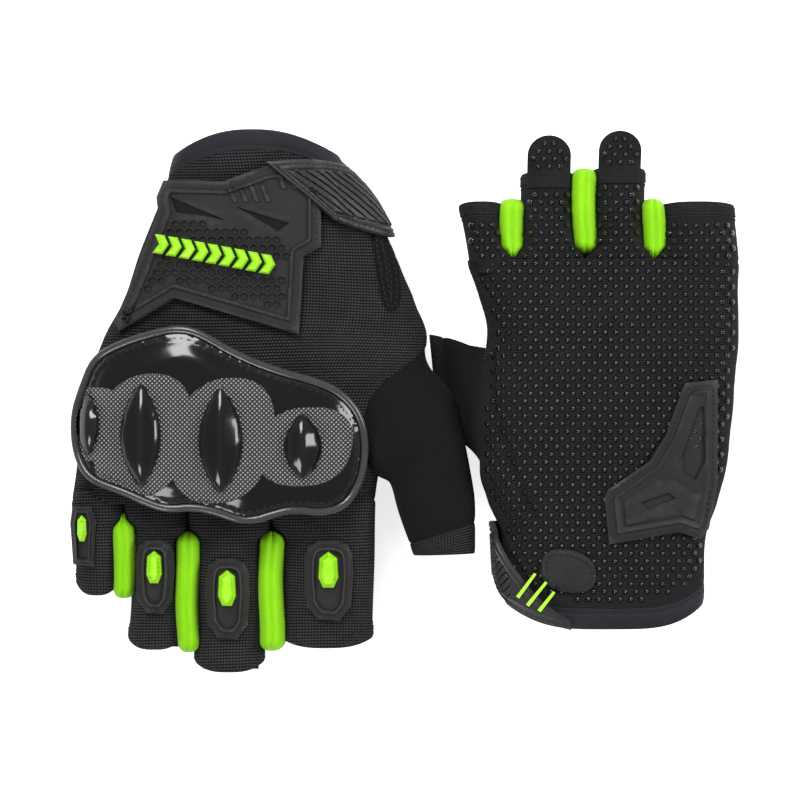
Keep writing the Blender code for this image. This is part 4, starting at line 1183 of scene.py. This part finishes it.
def band(glove, first, last, low, high, top, base, ribbed):
    """A strip round the wrist between two angles; its raised slanted bars fade in the flange.

    low and high give its edges in v at a share of the way round, top its lift at an angle, and
    ribbed how far the bars are raised at a share of the way round and along v.
    """
    across, along = np.linspace(0, 1, BAND_COLUMNS)[None, :], np.linspace(0, 1, BAND_ROWS)[:, None]
    angle = first(along) + (last - first(along)) * across
    v = low(across) + (high(across) - low(across)) * along
    skin = glove.hand.around(angle, v, top(angle))
    steps = np.linalg.norm(np.diff(skin, axis=1), axis=2)
    reach = np.concatenate([np.zeros((BAND_ROWS, 1)), np.cumsum(steps, axis=1)], axis=1)
    reach = reach - reach[:, -1:]
    slant = (0.75 * reach - 0.66 * v) / 2.7
    bar = 1 - ease((np.abs((slant % 1.0) - 0.5) - 0.33) / 0.08)
    from_edge = np.minimum(np.minimum(along, 1 - along) * (high(across) - low(across)), reach - reach[:, :1])
    flange = 0.45 * np.exp(-(((from_edge - 2.5) / 0.4) ** 2))
    field = ease((from_edge - 3.2) / 0.5) * ribbed(across, along)
    lift = top(angle) - 1.0 + 0.5 * ease(from_edge / 0.7) + flange + 0.75 * bar * field
    outer = glove.hand.around(angle, v, lift)
    inner = glove.hand.around(angle, v, top(angle) - base)
    return outer, inner, np.stack([reach + 0 * v, v], -1)


strap_rubber = finish(
    "strap_rubber", (0.009, 0.009, 0.009), (0.028, 0.027, 0.027), plain_tone, grain_height, 0.05, 0.45,
    worn=(0.07, 0.07, 0.07),
)
for glove in gloves:
    side = glove.side
    spread = STRAP_FROM[side] - 0.70
    over_panel = lambda angle: 3.5 + 1.9 * ease((angle - 0.80) / 0.25)
    outer, inner, uv = band(
        glove, lambda y: 1.50 + spread - 0.45 * y, -0.10,
        lambda x: 11.0 - 6.0 * x + 10.0 * x**2, lambda x: 30.0 + 14.0 * x - 9.5 * x**2,
        over_panel, 2.6, lambda _, y: 1.0 - ease((y - 0.80) / 0.04),
    )
    make_shell(
        glove, f"{side}_strap_moulding", outer, inner, uv, strap_rubber, glove.hand_body,
        [f"{side}_strap_band"],
    )
    for edge in (4, 65):
        seams[side, "hand"].row(outer[edge, 3:-3] + [0.0, 0.0, 0.05], pitch=2.1)
    seams[side, "hand"].row(outer[5:-5, 4] + [0.0, 0.0, 0.05], pitch=2.1)
    outer, inner, uv = band(
        glove, lambda y: TAB_FROM + 0 * y, TAB_TO,
        lambda x: 15.0 - 15.0 * x**0.8, lambda x: 32.0 - 19.0 * x - 10.0 * x**2,
        lambda angle: 3.7 + 0 * angle, 2.1, lambda x, _: 1.0 - ease((x - 0.45) / 0.05),
    )
    hinge = [glove.place(glove.hand.around(np.array(a), np.array(22.0), 4.0)) for a in (TAB_FROM, -0.30)]
    make_shell(
        glove, f"{side}_strap_free_end", outer, inner, uv, strap_rubber,
        (glove.hand_body, f"{side}_strap", tuple(hinge[0]), tuple(hinge[1])), [f"{side}_strap_tab"],
    )
    for edge in (4, -5):
        seams[side, "strap"].row(outer[edge, 12:-4], pitch=2.0, thick=0.36)
    stripes = []
    scale = 1.0 if side == "left" else 0.92
    for (u0, v0), (u1, v1) in STRIPES:
        along = np.array([u1 - u0, v1 - v0])
        across = np.array([-along[1], along[0]]) / np.linalg.norm(along) * 0.62
        corner = np.array([(u0, v0) + across, (u0, v0) - across, (u1, v1) - across * 0.4, (u1, v1) + across])
        corner[:, 0] *= scale
        stripes.append(moulding(corner, [], on(glove.hand, PALM, 3.9), 1.2, -1.2))
    points, faces, plan = joined(stripes)
    make_piece(glove, f"{side}_strap_stripes", points, faces, plan, gem_finish, f"{side}_strap")


# The fuzzy patch on the palm that the strap's tab grips: a loop pile, trimmed and sewn round.
def pile_tone(tree, grain):
    """Coarse noise for the loops, uneven over the slow grain."""
    place, _, _ = uv_parts(tree)
    return maths(tree, "MULTIPLY", noise(tree, place, 1.9, 4.0), grain.outputs["Slow"])


def tufts(places):
    """The pile's uneven top."""
    u, v = places[:, 0], places[:, 1]
    return 0.16 * crumple(u * 7, v * 7, 1.3, 5.0) + 0.1 * crumple(u * 19, v * 17, 1.1, 2.0)


pile = finish(
    "loop_pile", (0.010, 0.010, 0.011), (0.075, 0.075, 0.080), pile_tone, grain_height, 0.5, 0.95, sheen=0.6
)
for glove in gloves:
    low, high = (2.0, 22.0) if glove.side == "right" else (4.0, 22.0)
    corners = rounded(anticlockwise([(low, 11.5), (high, 13.0), (high, 27.5), (low, 24.5)]), 2)
    pile_top = on(glove.hand, PALM, 1.0)
    points, faces, plan = moulding(corners, [(shift_in(corners, 0.1), 0.8, 0.7)], pile_top, 0.62, -0.9, tufts)
    patch = make_piece(
        glove, f"{glove.side}_loop_pile", points, faces, plan, pile, glove.hand_body,
        [f"{glove.side}_loop_patch"],
    )
    sew_round(glove.side, "hand", shift_in(corners, 1.5), pile_top, 1.0, pitch=1.9, thick=0.36)


# The knuckle guard: a hard glossy shell over the knuckles with four creased ridges. The ground
# between the ridges is embossed with small scales. Soft foam lies under it and a glossy cord
# is sewn round its rim.
GUARD_BASE, GUARD_RISE, GUARD_DOME, GUARD_RUN, GUARD_WIDTH = 3.7, 2.2, 3.0, 66.0, 97.8
RIM = [  # shares of the width and of the run
    (0.0, 0.45), (0.03, 0.31), (0.07, 0.16), (0.16, 0.08), (0.30, 0.015), (0.38, 0.0), (0.45, 0.03),
    (0.56, 0.13), (0.69, 0.21), (0.86, 0.28), (0.94, 0.36), (0.99, 0.48), (1.0, 0.65), (0.98, 0.80),
    (0.93, 0.92), (0.85, 0.965), (0.75, 0.945), (0.69, 0.965), (0.62, 1.0), (0.56, 0.995), (0.50, 0.96),
    (0.42, 0.93), (0.33, 0.945), (0.26, 0.91), (0.18, 0.855), (0.09, 0.81), (0.04, 0.75), (0.005, 0.62),
]
RIDGES = ((0.065, 0.34, 0.66, 4.2), (0.245, 0.29, 0.82, 6.9), (0.51, 0.31, 0.85, 7.4), (0.78, 0.44, 0.78, 6.3))
RIDGE_RISE = 5.0


def ridge_loop(across, first, last, half):
    """A pointed oval: half times the sine of the way along, to the power 0.8, on either side."""
    way = np.linspace(0, 1, 36, endpoint=False)
    v = first * GUARD_RUN + (last - first) * GUARD_RUN * way
    wide = half * np.sin(np.pi * way) ** 0.8
    middle = across * GUARD_WIDTH
    return np.concatenate([np.stack([middle + wide, v], -1), np.stack([middle - wide, v], -1)[:0:-1]])


def ridge_height(places):
    """Each ridge has a low step round it and falls in near straight flanks from its crease."""
    total = np.zeros(len(places))
    for across, first, last, half in RIDGES:
        way = np.clip((places[:, 1] / GUARD_RUN - first) / (last - first), 0, 1)
        wide = half * np.sin(np.pi * way) ** 0.8 + 1e-6
        flank = np.clip(1 - np.abs(places[:, 0] - across * GUARD_WIDTH) / wide, 0, 1)
        profile = 0.35 * (flank > 0) * ease(flank / 0.12) + 0.65 * flank**0.85
        total = np.maximum(total, RIDGE_RISE * np.sin(np.pi * way) ** 0.7 * profile)
    return total


def guard_material():
    """Gloss black; inside four overlapping ovals round the ridges it has diamond scales embossed, whose raised tops
    are painted pale grey as painted highlights.
    """
    material = bpy.data.materials.new("guard_gloss_painted_highlights")
    material.use_nodes = True
    tree = material.node_tree
    shader = tree.nodes["Principled BSDF"]
    _, u, v = uv_parts(tree)
    nearest = None
    for across, first, last, half in RIDGES:
        ahead = maths(tree, "SUBTRACT", v, (first + last) / 2 * GUARD_RUN)
        bent = maths(tree, "ADD", u, maths(tree, "MULTIPLY", ahead, 0.16))
        x = maths(tree, "DIVIDE", maths(tree, "SUBTRACT", bent, across * 98.0 + 0.5), half + 8.8)
        y = maths(tree, "DIVIDE", ahead, (last - first) / 2 * GUARD_RUN * 1.16)
        sides = [maths(tree, "POWER", maths(tree, "ABSOLUTE", side), 2.4) for side in (x, y)]
        from_ridge = maths(tree, "ADD", *sides)
        nearest = from_ridge if nearest is None else maths(tree, "MINIMUM", nearest, from_ridge)
    zone = maths(tree, "MULTIPLY", maths(tree, "SUBTRACT", 1.0, nearest), 14.0)
    zone = maths(tree, "MINIMUM", maths(tree, "MAXIMUM", zone, 0.0), 1.0)
    plus = maths(tree, "SINE", maths(tree, "MULTIPLY", maths(tree, "ADD", u, v), math.pi / 1.5))
    minus = maths(tree, "SINE", maths(tree, "MULTIPLY", maths(tree, "SUBTRACT", u, v), math.pi / 1.5))
    scale = maths(tree, "ABSOLUTE", maths(tree, "MULTIPLY", plus, minus))
    mark = tree.nodes.new("ShaderNodeAttribute")
    mark.attribute_name = "ridge"
    flat = maths(tree, "MULTIPLY", zone, maths(tree, "SUBTRACT", 1.0, mark.outputs["Fac"]))
    grain = use_group(tree, grain_group)
    wear = use_group(tree, wear_group)
    # Painted highlights: the scale tops off the ridges are blended towards pale grey.
    tone = maths(tree, "MULTIPLY", flat, maths(tree, "POWER", scale, 1.8))
    colour = blend_colours(tree, tone, (0.0035, 0.0035, 0.0035), (0.42, 0.42, 0.43))
    colour = blend_colours(tree, maths(tree, "MULTIPLY", wear.outputs["Worn"], 0.35), colour, (0.05, 0.05, 0.05))
    tree.links.new(colour, shader.inputs["Base Color"])
    rough = maths(tree, "ADD", 0.10, maths(tree, "MULTIPLY", flat, 0.26))
    rough = maths(tree, "ADD", rough, maths(tree, "MULTIPLY", grain.outputs["Slow"], 0.06))
    tree.links.new(rough, shader.inputs["Roughness"])
    bump = tree.nodes.new("ShaderNodeBump")
    bump.inputs["Distance"].default_value = 0.55 * MM
    step = maths(tree, "MULTIPLY", zone, -0.6)
    tree.links.new(maths(tree, "ADD", maths(tree, "MULTIPLY", flat, scale), step), bump.inputs["Height"])
    tree.links.new(bump.outputs[0], shader.inputs["Normal"])
    return material


guard_finish = guard_material()
cord_finish = finish(
    "glossy_cord", (0.020, 0.020, 0.021), (0.075, 0.075, 0.078), plain_tone, grain_height, 0.02, 0.20,
    worn=(0.12, 0.12, 0.12),
)
foam_finish = finish("foam_cloth", (0.008, 0.008, 0.009), (0.024, 0.024, 0.026), plain_tone, grain_height, 0.3, 0.9)
CORD_RADIUS, CORD_STEP, CORD_SIDES = 1.35, 1.1, 16
GUARD_SPAN = {"right": (-60.0, 39.6, 64.2), "left": (-42.5, 34.5, 54.0)}  # low u, high u, first v
for glove in gloves:
    side = glove.side
    low, high, start = GUARD_SPAN[side]
    squeeze = (high - low) / GUARD_WIDTH
    rim = rounded(anticlockwise(np.array(RIM) * [GUARD_WIDTH, GUARD_RUN]), 2)
    shell = shift_in(rim, 3.0)
    shell_edge = dense(shell, 1.2)

    def guard_dome(places):
        """A flat sewn flange, a rounded shoulder and a gentle crown, with the ridges on top."""
        parts = np.array_split(places, 20)
        from_rim = np.concatenate([
            np.linalg.norm(part[:, None] - shell_edge[None], axis=2).min(axis=1) for part in parts
        ])
        shoulder = np.sin(np.clip((from_rim - 1.6) / 8.0, 0, 1) * math.pi / 2)
        lip = 0.4 * ease(from_rim / 0.7)
        return lip + (GUARD_DOME - 0.4) * shoulder + ridge_height(places) * (from_rim > 0.6)

    over_knuckles = lambda u, v, lift: glove.hand.over(low + u * squeeze, v + start, lift, BACK)
    guard_surface = lambda u, v, rise: over_knuckles(u, v, GUARD_BASE + rise)
    shell_surface = lambda u, v, rise: guard_surface(u, v, rise + GUARD_RISE * (rise > -0.5))
    ridge_marks = [(ridge_loop(*ridge), 0.25, 0.0) for ridge in RIDGES]
    points, faces, plan = moulding(shell, ridge_marks, shell_surface, 1.05, -1.0, guard_dome)
    piece = make_piece(
        glove, f"{side}_guard_shell", points, faces, plan, guard_finish, glove.hand_body,
        [f"{side}_knuckle_guard"],
    )
    mark = piece.data.attributes.new("ridge", "FLOAT", "POINT")
    layer = np.empty(len(piece.data.loops) * 2, np.float32)
    piece.data.uv_layers["UVMap"].data.foreach_get("uv", layer)
    corner = np.empty(len(piece.data.loops), np.int32)
    piece.data.loops.foreach_get("vertex_index", corner)
    plan_of = np.zeros((len(piece.data.vertices), 2))
    plan_of[corner] = layer.reshape(-1, 2)
    mark.data.foreach_set("value", ease(ridge_height(plan_of) / 0.6).astype(np.float32))
    groove = dense(shift_in(shell, 1.3), 0.8)
    sew_round(side, "hand", groove, guard_surface, GUARD_RISE + 0.42, pitch=2.4, thick=0.4, spacing=1.0)

    path = resample(dense(shift_in(rim, 1.5), 0.8), CORD_STEP, closed=True)
    core = guard_surface(path[:, 0], path[:, 1], 1.25)
    ahead = np.roll(core, -1, axis=0) - np.roll(core, 1, axis=0)
    ahead /= np.linalg.norm(ahead, axis=1, keepdims=True)
    across = np.cross(ahead, [0.0, 0.0, 1.0])
    across /= np.linalg.norm(across, axis=1, keepdims=True)
    up = np.cross(across, ahead)
    turn = np.linspace(0, 2 * math.pi, CORD_SIDES, endpoint=False)
    around = np.cos(turn)[None, :, None] * across[:, None] + np.sin(turn)[None, :, None] * up[:, None]
    cord = core[:, None] + CORD_RADIUS * around
    faces = join_grid(len(core), CORD_SIDES, True)
    first_ring, ring_start = np.arange(CORD_SIDES), (len(core) - 1) * CORD_SIDES
    next_ring = (first_ring + 1) % CORD_SIDES
    closing = np.stack([ring_start + first_ring, ring_start + next_ring, next_ring, first_ring], -1)
    way = np.arange(len(core))[:, None] * CORD_STEP + 0 * turn
    uv = np.stack([way, turn[None, :] * CORD_RADIUS + 0 * core[:, :1]], -1)
    make_piece(
        glove, f"{side}_guard_cord", cord.reshape(-1, 3), np.concatenate([faces, closing]), uv.reshape(-1, 2),
        cord_finish, glove.hand_body, [f"{side}_knuckle_piping"],
    )

    foam = shift_in(rim, 2.0)
    foam[:, 1] = np.minimum(foam[:, 1], glove.length - start + 3.0)
    swell = lambda places: 0.8 + 0.2 * crumple(places[:, 0], places[:, 1], 5.0, 1.0)
    points, faces, plan = moulding(foam, [(shift_in(foam, 0.2), 1.6, 2.0)], over_knuckles, 2.4, 0.2, swell)
    pad = make_piece(
        glove, f"{side}_guard_foam", points, faces, plan, foam_finish, glove.hand_body,
        [f"{side}_knuckle_foam"],
    )


# The palm slider: a hard moulded plate sewn over the heel of the hand by its flange, with a
# raised border, a flat wear face, a raised facet and two sunk shapes.
SLIDER = [
    (-35.5, 82.0), (-25.1, 80.9), (-24.1, 79.2), (-18.5, 63.7), (-13.5, 55.4), (0.0, 46.0), (1.3, 43.5),
    (-0.3, 28.0), (-23.1, 32.0), (-30.4, 29.7), (-33.5, 33.0), (-36.0, 47.5),
]
KITE = [(-29.4, 73.0), (-31.2, 73.4), (-31.9, 55.5), (-28.6, 49.0), (-24.6, 51.2), (-23.9, 57.4)]
WEDGE = [(-10.5, 41.8), (-19.6, 45.0), (-22.2, 43.2), (-12.5, 39.4)]
WEAR_FACE = {"right": 0.0, "left": 0.5}
FACET = [(-4.6, 42.4), (-5.4, 33.8), (-23.6, 37.2), (-28.6, 35.4), (-30.4, 44.0), (-22.0, 49.6), (-15.6, 49.8)]
for glove in gloves:
    outline = anticlockwise(np.array(SLIDER))
    features = [
        (shift_in(outline, 0.15), 0.4, 0.35),
        (shift_in(outline, 2.6), 0.4, 0.55),
        (shift_in(outline, 3.7), 0.5, -0.35),
        (anticlockwise(FACET), 0.6, 0.7),
        (anticlockwise(KITE), 0.4, -0.9),
        (anticlockwise(WEDGE), 0.4, -0.8),
    ]
    level = WEAR_FACE[glove.side]

    def slider_surface(u, v, rise):
        """The palm's skin, cut off at the level of the wear face."""
        points = glove.hand.over(u, v, 1.3 + rise, PALM)
        points[:, 2] = np.maximum(points[:, 2], level)
        return points

    points, faces, plan = moulding(outline, features, slider_surface, 2.0, -1.1)
    make_piece(
        glove, f"{glove.side}_slider_plate", points, faces, plan, rubber, glove.hand_body,
        [f"{glove.side}_palm_slider"],
    )
    sew_round(glove.side, "hand", dense(shift_in(outline, 1.4), 0.8), slider_surface, 0.38, pitch=2.0)


# Pull tabs: rounded tongues of the palm cloth at two fingertips, for drawing the glove off. The
# right glove's are folded under its fingers; the left glove's stand out ahead of them.
TAB_RUN = 12.0


def tab_surface(glove, finger, across, along, rise):
    """The tongue: it leaves the palm side of the stall, or turns back under it over a small fold."""
    form = glove.fingers[finger]
    centre = (form.low[-1] + form.high[-1]) / 2
    half = (form.high[-1] - form.low[-1]) * 0.40
    end, middle, deep = form.v[-1], form.middle[-1], form.half[-1]
    reach = along * TAB_RUN
    root = 1 - ease(along / 0.55)
    round_off = np.sqrt(np.maximum(1 - np.maximum((along - 1) * TAB_RUN / (half * 0.95) + 1, 0) ** 2, 0))
    u = centre + half * across * round_off
    flat = np.full_like(u, middle - deep - 0.6)
    curved = middle - deep * (1 - np.abs(across * 0.8) ** 2.3) ** (1 / 2.3) - 0.7
    if glove.side == "left":
        w = flat * (1 - root) + curved * root - rise + 0.6 * np.maximum(along, 0) ** 2
        return np.stack([u, end + reach, w], -1)
    fold = np.clip(reach / 2.2 + 0.5, 0, 1) * math.pi
    back = np.maximum(reach - 1.1, 0)
    lift = (0.85 + rise) * np.cos(fold)
    v = end + (0.85 + rise) * np.sin(fold) - back + np.minimum(reach + 1.1, 0)
    return np.stack([u, v, middle - deep - 0.35 + lift - 0.85], -1)


for glove in gloves:
    for finger in ("ring", "middle"):
        across = np.sin(np.linspace(-1, 1, 26) * math.pi / 2)[None, :]
        along = np.sin(np.linspace(-0.28, 1, 44) * math.pi / 2)[:, None] + 0 * across
        across = across + 0 * along
        outer = tab_surface(glove, finger, across, along, 0.0 * across)
        inner = tab_surface(glove, finger, across, along, -0.9 + 0 * across)
        body = f"{glove.side}_{finger}"
        v_end = glove.fingers[finger].v[-1]
        ends = [glove.place((0.0, v_end + s, 3.0)) for s in ((-1.0, 2.5) if glove.side == "left" else (1.2, 0.2))]
        make_shell(
            glove, f"{body}_tab_cloth", outer, inner, np.stack([across * 6, along * TAB_RUN], -1), palm_cloth,
            (body, f"{body}_pull_tab", tuple(ends[0]), tuple(ends[1])), [f"{body}_pull_tab"],
        )

        def on_tab(u, v):
            """Drops stop short of the tongue's round end."""
            room = 5.6 * np.sqrt(np.maximum(1 - np.maximum(v / 11.0 - 0.35, 0) ** 2 * 2.2, 0.01))
            return (np.abs(u) < room) & (v < 10.6)

        tab_skin = lambda u, v, rise: tab_surface(glove, finger, u / 7.0, v / TAB_RUN, rise)
        points, faces = drops(tab_skin, 1.8, 10.8, -7.0, 7.0, on_tab)
        make_piece(
            glove, f"{body}_tab_drops", points, faces, points[:, :2], silicone, f"{body}_pull_tab"
        )


# All the stitches of one body are one piece of thread.
for (side, part), sewing in seams.items():
    if sewing.count:
        glove = right if side == "right" else left
        sewing.make(glove, f"{side}_{part}_stitches", thread, f"{side}_{part}", "trim")
